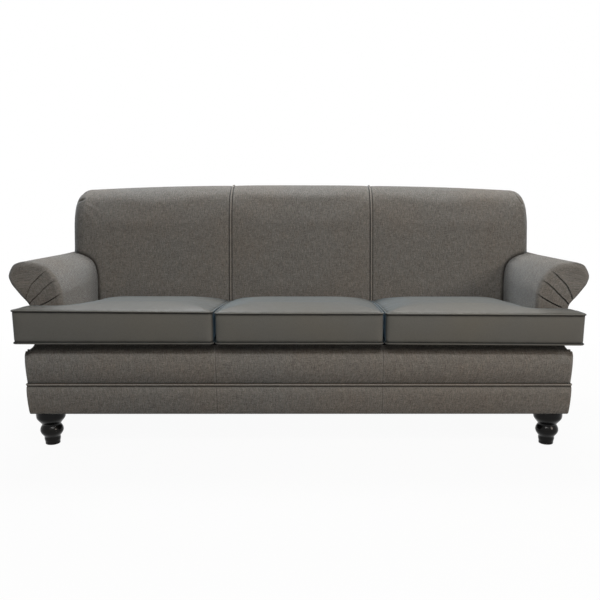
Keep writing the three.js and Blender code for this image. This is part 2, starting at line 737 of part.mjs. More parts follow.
put('front_band', board([
  [-bandHalf, legHeight], [bandHalf, legHeight], [bandTopHalf, bandTop], [-bandTopHalf, bandTop],
], bandSetback, railFront), tweed());
const sideBandRing = [
  [frameHalf, legHeight], [bandHalf, legHeight], [bandTopHalf, bandTop], [frameHalf, bandTop],
];
putPair('side_band', loft([
  sideBandRing.map(([x, z]) => new THREE.Vector3(x, railFront, z)),
  sideBandRing.map(([x, z]) => new THREE.Vector3(x, sideEnd(z), z)),
], flattenY), tweed);

const cornerTurn = cordRadius * 2;
function baseWeltPath() {
  const x = baseHalf + cordStandoff;
  const d = bandSetback - cordStandoff;
  const bend = [0, 30, 60, 90].map(THREE.MathUtils.degToRad).map((turn) => [
    x - cornerTurn * (1 - Math.cos(turn)),
    d + cornerTurn * (1 - Math.sin(turn)),
  ]);
  const half = [[x, sideEnd(weltHeight)], ...bend];
  const points = [
    ...half.map(([a, b]) => [-a, b]),
    ...half.reverse(),
  ];
  return points.map(([a, b]) => new THREE.Vector3(a, b, weltHeight));
}
put('base_welt', cord(baseWeltPath(), cordRadius, cordFaces), tweed());

// Seat deck: wider in front of the arms, where the wings of the outer cushions lie
const deckWide = frameHalf - fit;
const deckNarrow = seatHalf + armPadThickness - fit;
const deckBack = ribFrontAt(deckBottom) - fit;
put('seat_deck', slab([
  [-deckWide, deckFront],
  [deckWide, deckFront],
  [deckWide, stumpFront - fit],
  [deckNarrow, stumpFront - fit],
  [deckNarrow, deckBack],
  [-deckNarrow, deckBack],
  [-deckNarrow, stumpFront - fit],
  [-deckWide, stumpFront - fit],
], deckBottom, deckTop), deckCloth());

// Dust cover, cut off at the corners where the legs meet the frame
function dustCover() {
  const x = frameHalf;
  const d0 = railFront;
  const d1 = rearFrameAt(legHeight);
  const clear = legTopRadius * Math.SQRT2 + coverThickness;
  const clipFront = (x - legX) + (legFrontDepth - d0) + clear;
  const clipRear = (x - legX) + (d1 - legRearDepth) + clear;
  return slab([
    [-x + clipFront, d0], [x - clipFront, d0], [x, d0 + clipFront], [x, d1 - clipRear],
    [x - clipRear, d1], [-x + clipRear, d1], [-x, d1 - clipRear], [-x, d0 + clipFront],
  ], legHeight - dustCoverThickness, legHeight);
}
put('dust_cover', dustCover(), cambric());

// Loose seat cushions. A grid over the outline is crowned above and below; its boundary is
// walked once and lofted down the boxing, with a welt bead at both edges. The top falls a
// little from the front to the rear.
const cushionTopEdge = deckTop + cushionEdgeLift + cushionBoxing - 2 * weltRadius;
const cushionFoot = deckTop + cushionEdgeLift;
const cornerGrid = cushionCornerRadius * 0.36;
function gridLines(from, to, parts) {
  const inner = [from + cushionCornerRadius, to - cushionCornerRadius];
  const between = Array.from({ length: parts - 1 }, (_, i) =>
    THREE.MathUtils.lerp(inner[0], inner[1], (i + 1) / parts));
  return [from, from + cornerGrid, inner[0], ...between, inner[1], to - cornerGrid, to];
}

// Squares around a corner's centre become circles, which rounds the corner of the outline
function roundCorner(p, [cornerX, cornerY, towardX, towardY]) {
  const r = cushionCornerRadius;
  const a = 1 - (p.x - cornerX) * towardX / r;
  const b = 1 - (p.y - cornerY) * towardY / r;
  if (a <= 0 || b <= 0 || a > 1 || b > 1) return;
  const reach = Math.max(a, b);
  const turn = Math.PI / 4 * Math.min(a, b) / reach;
  const [long, short] = [reach * Math.cos(turn), reach * Math.sin(turn)];
  p.x = cornerX + towardX * r * (1 - (a >= b ? long : short));
  p.y = cornerY + towardY * r * (1 - (a >= b ? short : long));
}

function seatCushion(xs, ds, holds, corners, edges) {
  const cells = [];
  for (let i = 0; i + 1 < xs.length; i += 1) {
    for (let j = 0; j + 1 < ds.length; j += 1) {
      if (holds((xs[i] + xs[i + 1]) / 2, (ds[j] + ds[j + 1]) / 2)) cells.push([i, j]);
    }
  }
  const key = (i, j) => i * ds.length + j;
  const next = new Map();
  const has = new Set(cells.map(([i, j]) => key(i, j)));
  const open = (i, j) => i < 0 || j < 0 || !has.has(key(i, j));
  for (const [i, j] of cells) {
    if (open(i, j - 1)) next.set(key(i, j), [i + 1, j]);
    if (open(i + 1, j)) next.set(key(i + 1, j), [i + 1, j + 1]);
    if (open(i, j + 1)) next.set(key(i + 1, j + 1), [i, j + 1]);
    if (open(i - 1, j)) next.set(key(i, j + 1), [i, j]);
  }
  const start = next.values().next().value;
  const walk = [start];
  for (let at = next.get(key(...start)); key(...at) !== key(...start); at = next.get(key(...at))) {
    walk.push(at);
  }
  const place = (i, j) => {
    const p = new THREE.Vector2(xs[i], ds[j]);
    corners.forEach((corner) => roundCorner(p, corner));
    return p;
  };
  const rim = walk.map(([i, j]) => place(i, j));
  const outer = inset([...rim].reverse(), -weltRadius).reverse();
  const positions = [];
  const index = [];
  const add = (x, y, z) => positions.push([x, y, z]) - 1;

  // Height share at a grid point, rising from the edges in a quarter wave
  const swell = (x, y) => {
    const near = Math.min(...edges.map(([x0, y0, x1, y1]) => Math.hypot(
      x - THREE.MathUtils.clamp(x, x0, x1), y - THREE.MathUtils.clamp(y, y0, y1))));
    return Math.sin(Math.min(1, near / crownSpread) * Math.PI / 2);
  };
  const rimKeys = new Map(walk.map(([i, j], n) => [key(i, j), n]));
  const sheet = (edgeAt, rise, upward) => {
    const made = new Map();
    const at = (i, j) => {
      if (!made.has(key(i, j))) {
        const p = place(i, j);
        const onRim = rimKeys.get(key(i, j));
        if (onRim !== undefined) p.lerp(outer[onRim], -1);
        made.set(key(i, j), add(p.x, p.y, edgeAt(p.y) + rise * swell(xs[i], ds[j])));
      }
      return made.get(key(i, j));
    };
    for (const [i, j] of cells) {
      const [a, b, c, d] = [at(i, j), at(i + 1, j), at(i + 1, j + 1), at(i, j + 1)];
      index.push(...(upward ? [a, b, c, a, c, d] : [a, c, b, a, d, c]));
    }
    return walk.map(([i, j]) => at(i, j));
  };
  const ring = (outward, heightAt) => rim.map((p, n) => {
    const q = p.clone().lerp(outer[n], outward / weltRadius);
    return add(q.x, q.y, heightAt(q.y));
  });
  const top = (d) => cushionTopEdge - cushionFall * (d - seatFront) / (seatRear - seatFront);
  const foot = () => cushionFoot;
  const above = (edge, rise) => (d) => edge(d) + rise;
  const rings = [
    sheet(top, cushionCrown, true),
    ring(0, above(top, weltRadius * 0.8)),
    ring(weltRadius, top),
    ring(0, above(top, -weltRadius)),
    ring(-boxingDrawIn, (d) => (top(d) + foot()) / 2),
    ring(0, above(foot, weltRadius)),
    ring(weltRadius, foot),
    ring(0, above(foot, -weltRadius * 0.8)),
    sheet(foot, fit - cushionEdgeLift, false),
  ];
  rings.slice(1).forEach((lower, level) => {
    const upper = rings[level];
    upper.forEach((_, n) => {
      const m = (n + 1) % upper.length;
      index.push(upper[n], lower[n], lower[m], upper[n], lower[m], upper[m]);
    });
  });
  const geometry = new THREE.BufferGeometry();
  geometry.setAttribute('position', new THREE.Float32BufferAttribute(positions.flat(), 3));
  geometry.setIndex(index);
  return geometry;
}

// Outline limits of the boxing, inside the beads
const seatFront = weltRadius;
const seatRear = seatDepth - cushionGap - weltRadius;
const middleHalf = seamHalf - cushionGap / 2 - weltRadius;
const outerFrom = seamHalf + cushionGap / 2 + weltRadius;
const outerTo = seatHalf - cushionGap - weltRadius;
const wingTo = seatHalf + wingReach - weltRadius;
const wingRear = armSetback - cushionGap - weltRadius;
const boxEdges = (x0, x1, y0, y1) =>
  [[x0, y0, x1, y0], [x0, y1, x1, y1], [x0, y0, x0, y1], [x1, y0, x1, y1]];

put('seat_cushion_centre', seatCushion(
  gridLines(-middleHalf, middleHalf, 4),
  gridLines(seatFront, seatRear, 4),
  () => true,
  [[-middleHalf, seatFront, 1, 1], [middleHalf, seatFront, -1, 1],
    [-middleHalf, seatRear, 1, -1], [middleHalf, seatRear, -1, -1]],
  boxEdges(-middleHalf, middleHalf, seatFront, seatRear),
), vinyl());
putPair('seat_cushion', seatCushion(
  [...gridLines(outerFrom, outerTo, 4), ...gridLines(outerTo, wingTo, 1).slice(1)],
  [...gridLines(seatFront, wingRear, 1), ...gridLines(wingRear, seatRear, 4).slice(1)],
  (x, d) => x < outerTo || d < wingRear,
  [[outerFrom, seatFront, 1, 1], [wingTo, seatFront, -1, 1], [wingTo, wingRear, -1, -1],
    [outerTo, seatRear, -1, -1], [outerFrom, seatRear, 1, -1]],
  [[outerFrom, seatFront, wingTo, seatFront], [outerFrom, seatFront, outerFrom, seatRear],
    [outerFrom, seatRear, outerTo, seatRear], [outerTo, wingRear, outerTo, seatRear],
    [outerTo, wingRear, wingTo, wingRear], [wingTo, seatFront, wingTo, wingRear]],
), vinyl);

export default sofa;
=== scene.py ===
# %% [markdown]
# # English roll arm sofa
# A three seat sofa with a tight back in three panels, low rolled arms set back behind
# T-shaped seat cushions, a padded base with a welt round it, and turned black legs.
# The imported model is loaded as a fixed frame. Every covered piece is then cut as cloth,
# wrapped on its form, padded and sewn, and every board and spring gets its own finish.

# %% Load the frame
import math

import bpy
import numpy as np
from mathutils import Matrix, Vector


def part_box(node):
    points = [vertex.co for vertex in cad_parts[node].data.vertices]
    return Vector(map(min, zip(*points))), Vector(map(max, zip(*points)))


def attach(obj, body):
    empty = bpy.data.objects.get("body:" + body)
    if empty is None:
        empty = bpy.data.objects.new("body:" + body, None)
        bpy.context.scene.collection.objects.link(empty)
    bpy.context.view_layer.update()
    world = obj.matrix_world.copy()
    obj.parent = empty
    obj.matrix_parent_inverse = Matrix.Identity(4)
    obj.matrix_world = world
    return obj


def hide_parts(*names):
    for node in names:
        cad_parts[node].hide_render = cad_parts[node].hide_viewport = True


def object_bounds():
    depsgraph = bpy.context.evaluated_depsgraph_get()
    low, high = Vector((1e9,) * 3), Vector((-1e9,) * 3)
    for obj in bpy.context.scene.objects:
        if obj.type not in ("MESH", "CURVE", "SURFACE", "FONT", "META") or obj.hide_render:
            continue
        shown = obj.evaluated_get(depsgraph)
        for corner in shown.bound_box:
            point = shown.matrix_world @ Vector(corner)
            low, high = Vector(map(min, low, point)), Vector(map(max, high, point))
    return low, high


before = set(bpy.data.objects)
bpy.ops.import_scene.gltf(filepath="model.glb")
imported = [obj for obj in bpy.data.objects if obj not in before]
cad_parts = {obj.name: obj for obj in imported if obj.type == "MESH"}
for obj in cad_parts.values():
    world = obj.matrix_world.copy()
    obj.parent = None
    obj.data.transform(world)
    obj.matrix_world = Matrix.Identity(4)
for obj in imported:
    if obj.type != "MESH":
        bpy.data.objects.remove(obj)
cad_low, cad_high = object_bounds()
print("frame nodes", len(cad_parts), "box", tuple(cad_low), tuple(cad_high))

# %% [markdown]
# ## Camera
# The camera stands 2.7 m in front of the middle of the sofa, above its arms, and looks
# down a little. The photograph is cropped, so the middle of the view isn't the middle of
# the picture, and a shifted lens gives that framing. Angles are in radians.

# %% Camera
PICTURE = 600
FOCAL_PIXELS = 689.31
SENSOR = 36.0
PRINCIPAL = (312.95, 337.47)
TILT = 0.2004
YAW = -0.0054
ROLL = 0.0015
CAMERA_PLACE = (0.033, -2.6999, 0.8693)

bpy.ops.object.camera_add(location=CAMERA_PLACE,
                          rotation=(math.pi / 2 - TILT, -ROLL, YAW))
camera = bpy.context.object
camera.data.sensor_width = SENSOR
camera.data.lens = SENSOR * FOCAL_PIXELS / PICTURE
camera.data.shift_x = (PICTURE / 2 - PRINCIPAL[0]) / PICTURE
camera.data.shift_y = (PRINCIPAL[1] - PICTURE / 2) / PICTURE
camera.data.clip_start = 0.05
bpy.context.scene.camera = camera
bpy.context.scene.view_settings.view_transform = "Standard"
print("camera at", CAMERA_PLACE, "lens", round(camera.data.lens, 2), "mm")

# %% [markdown]
# ## Small tools
# A few helpers keep the steps short: one that leaves only the wanted pieces selected, two
# that read and write all points of a mesh at once, and one that adds a modifier and
# applies it.

# %% Small tools
def only(*pieces):
    bpy.ops.object.select_all(action="DESELECT")
    for piece in pieces:
        piece.select_set(True)
    bpy.context.view_layer.objects.active = pieces[0] if pieces else None


def points_of(piece):
    co = np.empty(len(piece.data.vertices) * 3, np.float32)
    piece.data.vertices.foreach_get("co", co)
    return co.reshape(-1, 3).astype(float)


def set_points(piece, co):
    piece.data.vertices.foreach_set("co", np.ascontiguousarray(co, np.float32).ravel())
    piece.data.update()


def normals_of(piece):
    n = np.empty(len(piece.data.vertices) * 3, np.float32)
    piece.data.vertices.foreach_get("normal", n)
    return n.reshape(-1, 3).astype(float)


def with_modifier(piece, kind, **values):
    only(piece)
    modifier = piece.modifiers.new(kind.title(), kind)
    for name, value in values.items():
        setattr(modifier, name, value)
    bpy.ops.object.modifier_apply(modifier=modifier.name)
    return piece


def edit(piece, *steps):
    """Selects the whole mesh in edit mode and runs operators on it."""
    only(piece)
    bpy.ops.object.mode_set(mode="EDIT")
    bpy.ops.mesh.select_all(action="SELECT")
    for operator, values in steps:
        operator(**values)
    bpy.ops.object.mode_set(mode="OBJECT")


def smooth(piece, degrees=50):
    only(piece)
    bpy.ops.object.shade_smooth_by_angle(angle=math.radians(degrees))


# %% [markdown]
# ## A piece of cloth
# Upholstery starts as flat cloth that is wrapped on a form, so most soft pieces here start
# as a flat grid. The grid is wrapped by a function that says where each share across and
# along it lies, and its UV map keeps the real lengths in metres. The weave can then follow
# the cloth over every curve.

# %% A piece of cloth
def cloth(name, across, along, wrap):
    only()
    bpy.ops.mesh.primitive_grid_add(x_subdivisions=across, y_subdivisions=along, size=2)
    piece = bpy.context.object
    piece.name = piece.data.name = name
    flat = points_of(piece)
    order = np.lexsort((np.round(flat[:, 0], 5), np.round(flat[:, 1], 5)))
    columns = len(np.unique(np.round(flat[:, 0], 5)))
    rows = len(flat) // columns
    grid = wrap(np.linspace(0, 1, columns), np.linspace(0, 1, rows))
    co = np.empty_like(flat)
    co[order] = grid.reshape(-1, 3)
    set_points(piece, co)

    def lengths(a, axis):
        step = np.linalg.norm(np.diff(a, axis=axis), axis=2)
        zero = np.zeros_like(step.take([0], axis=axis))
        return np.concatenate([zero, np.cumsum(step, axis=axis)], axis=axis)

    uv = np.empty((len(flat), 2))
    uv[order] = np.stack([lengths(grid, 1), lengths(grid, 0)], axis=2).reshape(-1, 2)
    while piece.data.uv_layers:
        piece.data.uv_layers.remove(piece.data.uv_layers[0])
    layer = piece.data.uv_layers.new(name="cloth")
    corner = np.empty(len(piece.data.loops), np.int32)
    piece.data.loops.foreach_get("vertex_index", corner)
    layer.data.foreach_set("uv", uv[corner].astype(np.float32).ravel())
    return piece


def outward(piece, centre):
    """Turns an open sheet so that its faces point away from a centre."""
    piece.data.update()
    away = points_of(piece) - np.array(centre)
    if (normals_of(piece) * away).sum() < 0:
        edit(piece, (bpy.ops.mesh.flip_normals, {}))
    return piece


def sew(piece, distance=1e-5):
    edit(piece, (bpy.ops.mesh.remove_doubles, {"threshold": distance}))
    return piece


# %% [markdown]
# ## Padding
# Cloth over padding swells between the lines where it is sewn or tacked. Blender's cloth
# solver gives that swell: a little pressure, no gravity, and the sewn points pinned. The
# move of each point is capped, so that a pad never grows past its place.

# %% Padding
def pin(piece, weights, name="sewn"):
    group = piece.vertex_groups.new(name=name)
    for weight in np.unique(np.round(weights, 2)):
        if weight > 0:
            members = np.flatnonzero(np.round(weights, 2) == weight).tolist()
            group.add(members, float(weight), "REPLACE")
    return name


def puff(piece, pressure, cap, weights, frames=20, stiffness=15.0, bending=0.5):
    rest = points_of(piece)
    only(piece)
    modifier = piece.modifiers.new("Cloth", "CLOTH")
    settings = modifier.settings
    settings.quality = 5
    settings.use_pressure = True
    settings.uniform_pressure_force = pressure
    settings.effector_weights.gravity = 0
    settings.tension_stiffness = settings.compression_stiffness = stiffness
    settings.bending_stiffness = bending
    settings.vertex_group_mass = pin(piece, weights)
    modifier.collision_settings.use_collision = False
    for step in range(1, frames + 1):
        bpy.context.scene.frame_set(step)
    bpy.ops.object.modifier_apply(modifier=modifier.name)
    bpy.context.scene.frame_set(1)
    piece.vertex_groups.clear()
    move = points_of(piece) - rest
    length = np.linalg.norm(move, axis=1, keepdims=True)
    set_points(piece, rest + move * np.minimum(1, cap / np.maximum(length, 1e-9)))
    print(piece.name, "swells at most", round(min(cap, float(length.max())) * 1000, 1), "mm")
    return piece


# %% [markdown]
# ## Wear along edges, and painted shade by seams
# Cloth and lacquer age first where they bend outward. Each finished mesh gets an attribute
# that says how much it bends at a point, and pieces with seams get one that says how near
# a seam, join or tuck is, where the materials darken the colour as painted shade. The
# materials read both.

# %% Wear along edges, and painted shade by seams
def mark_bends(piece, radius=0.02):
    mesh = piece.data
    mesh.update()
    ends = np.empty(len(mesh.edges) * 2, np.int32)
    mesh.edges.foreach_get("vertices", ends)
    a, b = ends.reshape(-1, 2).T
    co, normal = points_of(piece), normals_of(piece)
    run = np.maximum(((co[b] - co[a]) ** 2).sum(1), 1e-10)
    bend = np.zeros(len(co))
    count = np.zeros(len(co))
    for here, there in ((a, b), (b, a)):
        np.add.at(bend, here, -2 * ((co[there] - co[here]) * normal[here]).sum(1) / run)
        np.add.at(count, here, 1)
    bend /= np.maximum(count, 1)
    layer = mesh.attributes.new("bend", "FLOAT", "POINT")
    layer.data.foreach_set("value", np.clip(bend * radius, -1, 1).astype(np.float32))
    return piece


def mark_painted_shade(piece, nearness):
    """Writes how near each point is to a seam, join or tuck, where the cover sinks; the materials
    paint shade there.
    """
    layer = piece.data.attributes.new("seam", "FLOAT", "POINT")
    layer.data.foreach_set("value", np.clip(nearness, 0, 1).astype(np.float32))
    return piece


def hand_over(piece, material, slot, *replaced, fill=None, body="sofa_body"):
    """Finish of every piece: material, motion and the node it stands for. Its padding (fill) is
    not used.
    """
    piece.data.materials.clear()
    piece.data.materials.append(material)
    mark_bends(piece)
    smooth(piece)
    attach(piece, body)
    if replaced:
        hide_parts(*replaced)
    return piece


# %% [markdown]
# ## Node tools
# Materials are networks of small nodes. This helper adds a node, sets its options, and
# either types a value into a socket or links another socket to it.

# %% Node tools
class Net:
    def __init__(self, tree):
        self.tree = tree

    def add(self, kind, out=0, sockets=None, **options):
        node = self.tree.nodes.new("ShaderNode" + kind)
        for name, value in options.items():
            setattr(node, name, value)
        for name, value in (sockets or {}).items():
            if isinstance(value, bpy.types.NodeSocket):
                self.tree.links.new(value, node.inputs[name])
            else:
                node.inputs[name].default_value = value
        return node.outputs[out]

    def math(self, operation, a, b=0.0, clamp=False):
        return self.add("Math", sockets={0: a, 1: b}, operation=operation, use_clamp=clamp)

    def noise(self, vector, scale, detail=2.0, roughness=0.5):
        return self.add("TexNoise", sockets={
            "Vector": vector, "Scale": scale, "Detail": detail, "Roughness": roughness})

    def spread(self, value, low, high, to_low=0.0, to_high=1.0):
        return self.add("MapRange", sockets={
            "Value": value, "From Min": low, "From Max": high,
            "To Min": to_low, "To Max": to_high}, clamp=True)

    def mix(self, share, a, b, blend="MIX"):
        return self.add("Mix", out=2, sockets={0: share, 6: a, 7: b},
                        data_type="RGBA", blend_type=blend)


def colour(red, green, blue):
    """A colour as a screen shows it, from 0 to 255, made linear for the shader."""
    def linear(c):
        c /= 255
        return c / 12.92 if c <= 0.04045 else ((c + 0.055) / 1.055) ** 2.4
    return (linear(red), linear(green), linear(blue), 1.0)


def new_group(name, inputs, outputs):
    tree = bpy.data.node_groups.new(name, "ShaderNodeTree")
    for title, kind, value in inputs:
        socket = tree.interface.new_socket(title, in_out="INPUT", socket_type=kind)
        if value is not None:
            socket.default_value = value
    for title, kind in outputs:
        tree.interface.new_socket(title, in_out="OUTPUT", socket_type=kind)
    net = Net(tree)
    start = tree.nodes.new("NodeGroupInput")
    end = tree.nodes.new("NodeGroupOutput")
    return net, start.outputs, end.inputs


def use_group(net, name, **sockets):
    node = net.tree.nodes.new("ShaderNodeGroup")
    node.node_tree = bpy.data.node_groups[name]
    for title, value in sockets.items():
        title = title.replace("_", " ")
        if isinstance(value, bpy.types.NodeSocket):
            net.tree.links.new(value, node.inputs[title])
        else:
            node.inputs[title].default_value = value
    return node.outputs


def new_material(name, slot_colour):
    material = bpy.data.materials.new(name)
    material.use_nodes = True
    material.diffuse_color = slot_colour
    tree = material.node_tree
    tree.nodes.clear()
    shader = tree.nodes.new("ShaderNodeBsdfPrincipled")
    result = tree.nodes.new("ShaderNodeOutputMaterial")
    tree.links.new(shader.outputs[0], result.inputs[0])
    return material, Net(tree), shader


def set_shader(net, shader, **sockets):
    for title, value in sockets.items():
        title = title.replace("_", " ")
        if isinstance(value, bpy.types.NodeSocket):
            net.tree.links.new(value, shader.inputs[title])
        else:
            shader.inputs[title].default_value = value


# %% [markdown]
# ## Weave
# The cover is a tweed: two sets of yarn cross over and under each other, every yarn is a
# little lighter or darker than the next, and thick slubs run along some of them. A group
# works this out from the cloth's own UV lengths and gives heights and shades to any
# material that needs a weave.

# %% Weave group
def build_weave():
    net, given, result = new_group("weave", [
        ("Cloth", "NodeSocketVector", None),
        ("Pitch", "NodeSocketFloat", 0.0016),
        ("Slub", "NodeSocketFloat", 0.5),
    ], [("Height", "NodeSocketFloat"), ("Yarn", "NodeSocketFloat"), ("Fleck", "NodeSocketFloat"),
        ("Streak", "NodeSocketFloat"), ("Hue", "NodeSocketFloat")])
    count = net.math("DIVIDE", 1.0, given["Pitch"])
    threads = net.add("VectorMath", sockets={0: given["Cloth"]}, operation="SCALE")
    net.tree.links.new(count, threads.node.inputs["Scale"])
    wobble = net.add("TexNoise", out=1, sockets={"Vector": threads, "Scale": 0.09, "Detail": 2.0})
    push = net.add("VectorMath", sockets={0: wobble, 1: (0.5, 0.5, 0.5)}, operation="SUBTRACT")
    push = net.add("VectorMath", sockets={0: push, "Scale": 1.6}, operation="SCALE")
    moved = net.add("VectorMath", sockets={0: threads, 1: push}, operation="ADD")
    parts = net.add("SeparateXYZ", sockets={0: moved}).node
    u, v = parts.outputs[0], parts.outputs[1]
    iu, iv = net.math("FLOOR", u), net.math("FLOOR", v)
    over = net.math("FLOORED_MODULO", net.math("ADD", iu, iv), 2.0)
    ridge_u = net.math("SINE", net.math("MULTIPLY", net.math("FRACT", u), math.pi))
    ridge_v = net.math("SINE", net.math("MULTIPLY", net.math("FRACT", v), math.pi))
    warp = net.math("MULTIPLY", ridge_u, net.math("POWER", ridge_v, 0.5))
    weft = net.math("MULTIPLY", ridge_v, net.math("POWER", ridge_u, 0.5))
    height = net.add("Mix", sockets={0: over, 2: warp, 3: weft}, data_type="FLOAT")
    warp_at = net.add("CombineXYZ", sockets={0: iu, 1: net.math("MULTIPLY", v, 0.06), 2: 3.0})
    weft_at = net.add("CombineXYZ", sockets={0: net.math("MULTIPLY", u, 0.06), 1: iv, 2: 9.0})
    warp_tone = net.noise(warp_at, 1.7, 1.0)
    weft_tone = net.noise(weft_at, 1.7, 1.0)
    yarn = net.add("Mix", sockets={0: over, 2: warp_tone, 3: weft_tone}, data_type="FLOAT")
    slub = net.spread(net.noise(warp_at, 0.6, 2.0), 0.62, 0.78)
    height = net.math("ADD", height, net.math("MULTIPLY", slub, given["Slub"]))
    cell = net.add("CombineXYZ", sockets={0: iu, 1: iv, 2: 0.0})
    fleck = net.add("TexWhiteNoise", sockets={"Vector": cell}, noise_dimensions="3D")
    long = net.add("Mapping", sockets={"Vector": given["Cloth"], "Scale": (400.0, 36.0, 1.0)})
    streak = net.noise(long, 1.0, 3.0, 0.65)
    wide = net.add("Mapping", sockets={"Vector": given["Cloth"], "Scale": (150.0, 24.0, 1.0)})
    hue = net.noise(wide, 1.0, 3.0, 0.7)
    for title, socket in (("Height", height), ("Yarn", yarn), ("Fleck", fleck),
                          ("Streak", streak), ("Hue", hue)):
        net.tree.links.new(socket, result[title])


build_weave()


# %% [markdown]
# ## Age and handling
# No cover is one even tone. This group gives slow patches, a finer cloud, and a mask of
# the outward bends, where a cover is rubbed lighter.

# %% Ageing group
def build_age():
    net, given, result = new_group("age", [
        ("Place", "NodeSocketVector", None),
        ("Bend", "NodeSocketFloat", 0.0),
        ("Patch Scale", "NodeSocketFloat", 3.0),
    ], [("Patch", "NodeSocketFloat"), ("Cloud", "NodeSocketFloat"), ("Rub", "NodeSocketFloat")])
    patch = net.add("TexNoise", sockets={"Vector": given["Place"], "Detail": 3.0})
    net.tree.links.new(given["Patch Scale"], patch.node.inputs["Scale"])
    cloud = net.noise(given["Place"], 38.0, 4.0, 0.6)
    rough = net.noise(given["Place"], 90.0, 3.0, 0.6)
    rub = net.math("MULTIPLY", net.spread(given["Bend"], 0.1, 0.8),
                   net.spread(rough, 0.3, 0.7, 0.35, 1.0))
    for title, socket in (("Patch", patch), ("Cloud", cloud), ("Rub", rub)):
        net.tree.links.new(socket, result[title])


build_age()


# %% [markdown]
# ## Tweed cover
# Grey brown wool with lighter and darker flecks. Seen close it is rough, and at a low
# angle its fibres catch light, which is what the sheen is for.

# %% Tweed cover
def bend_of(net):
    return net.add("Attribute", out=2, attribute_name="bend")


def painted_shade_of(net):
    return net.add("Attribute", out=2, attribute_name="seam")


def make_tweed(name, dark, light, pitch=0.0016):
    material, net, shader = new_material(name, light)
    place = net.add("TexCoord", out=3)
    uv = net.add("UVMap", uv_map="cloth")
    weave = use_group(net, "weave", Cloth=uv, Pitch=pitch)
    age = use_group(net, "age", Place=place, Bend=bend_of(net), Patch_Scale=2.4)
    tone = net.math("ADD", net.math("MULTIPLY", net.spread(weave["Yarn"], 0.25, 0.75), 0.62),
                    net.math("MULTIPLY", weave["Fleck"], 0.38))
    base = net.mix(tone, dark, light)
    base = net.mix(net.spread(weave["Hue"], 0.45, 0.65, 0.0, 0.34), base,
                   net.mix(1.0, base, (1.10, 0.97, 0.88, 1.0), "MULTIPLY"))
    base = net.mix(net.spread(weave["Streak"], 0.5, 0.72, 0.0, 0.36), base,
                   net.mix(1.0, base, (1.75, 1.75, 1.66, 1.0), "MULTIPLY"))
    base = net.mix(net.spread(weave["Streak"], 0.48, 0.28, 0.0, 0.42), base,
                   net.mix(1.0, base, (0.5, 0.49, 0.46, 1.0), "MULTIPLY"))
    base = net.mix(net.spread(age["Patch"], 0.4, 0.65, 0.0, 0.7), base,
                   net.mix(1.0, base, (1.06, 0.98, 0.91, 1.0), "MULTIPLY"))
    base = net.mix(net.spread(age["Cloud"], 0.35, 0.7, 0.0, 0.12), base,
                   net.mix(1.0, base, (0.7, 0.7, 0.7, 1.0), "MULTIPLY"))
    # painted shade in the hollows between the yarns
    weave_hollow_shade = net.spread(weave["Height"], 0.1, 0.6, 0.4, 0.0)
    base = net.mix(weave_hollow_shade, base, (0.012, 0.011, 0.010, 1.0))
    base = net.mix(net.math("MULTIPLY", age["Rub"], 0.3), base, light)
    # painted shade: darker by seams, joins and tucks, for the shadow that falls there
    base = net.mix(net.math("MULTIPLY", painted_shade_of(net), 0.8), base, (0.006, 0.005, 0.004, 1.0))
    bump = net.add("Bump", sockets={"Height": weave["Height"], "Distance": 0.0006,
                                    "Strength": 0.5})
    set_shader(net, shader, Base_Color=base, Normal=bump, Roughness=0.95,
               Sheen_Weight=0.3, Sheen_Roughness=0.32, Sheen_Tint=(0.88, 0.95, 1.0, 1.0),
               Specular_IOR_Level=0.06)
    return material


tweed = make_tweed("tweed_cover", colour(70, 69, 66), colour(138, 137, 134))
tweed_welt = make_tweed("tweed_welt", colour(72, 70, 66), colour(150, 147, 142), pitch=0.0013)

# %% [markdown]
# ## Cushion cover
# The seat cushions have a smooth coated cover in dark grey. It has a fine pebble grain,
# slow changes of gloss where it is sat on, and small stretch lines by the seams.

# %% Cushion cover
def make_cushion_cover(name, base_colour):
    material, net, shader = new_material(name, base_colour)
    place = net.add("TexCoord", out=3)
    age = use_group(net, "age", Place=place, Bend=bend_of(net), Patch_Scale=3.1)
    pebble = net.add("TexVoronoi", sockets={"Vector": place, "Scale": 620.0},
                     feature="SMOOTH_F1")
    crease = net.noise(place, 150.0, 5.0, 0.62)
    height = net.math("ADD", net.math("MULTIPLY", pebble, 0.7), net.math("MULTIPLY", crease, 0.5))
    base = net.mix(net.spread(age["Patch"], 0.35, 0.7, 0.0, 0.5), base_colour,
                   net.mix(1.0, base_colour, (1.12, 1.04, 0.9, 1.0), "MULTIPLY"))
    base = net.mix(net.spread(pebble, 0.2, 0.7, 0.0, 0.35), base,
                   net.mix(1.0, base, (0.6, 0.6, 0.6, 1.0), "MULTIPLY"))
    base = net.mix(net.math("MULTIPLY", age["Rub"], 0.12), base, colour(122, 121, 113))
    # painted shade: dark in the seams, beside the welts and on the sides between cushions
    base = net.mix(net.math("MULTIPLY", painted_shade_of(net), 0.9), base, (0.002, 0.002, 0.002, 1.0))
    gloss = net.spread(age["Cloud"], 0.25, 0.75, 0.4, 0.52)
    bump = net.add("Bump", sockets={"Height": height, "Distance": 0.0003, "Strength": 0.35})
    set_shader(net, shader, Base_Color=base, Normal=bump, Roughness=gloss,
               Specular_IOR_Level=0.08, Sheen_Weight=0.2, Sheen_Roughness=0.3,
               Sheen_Tint=(0.35, 0.68, 1.0, 1.0))
    return material


cushion_cover = make_cushion_cover("cushion_cover", colour(91, 91, 88))

# %% [markdown]
# ## Lacquer, boards, springs and backing cloths
# The legs are turned wood under black gloss lacquer. Inside are plain hardwood boards,
# drawn steel springs, jute webbing and dark backing cloths.

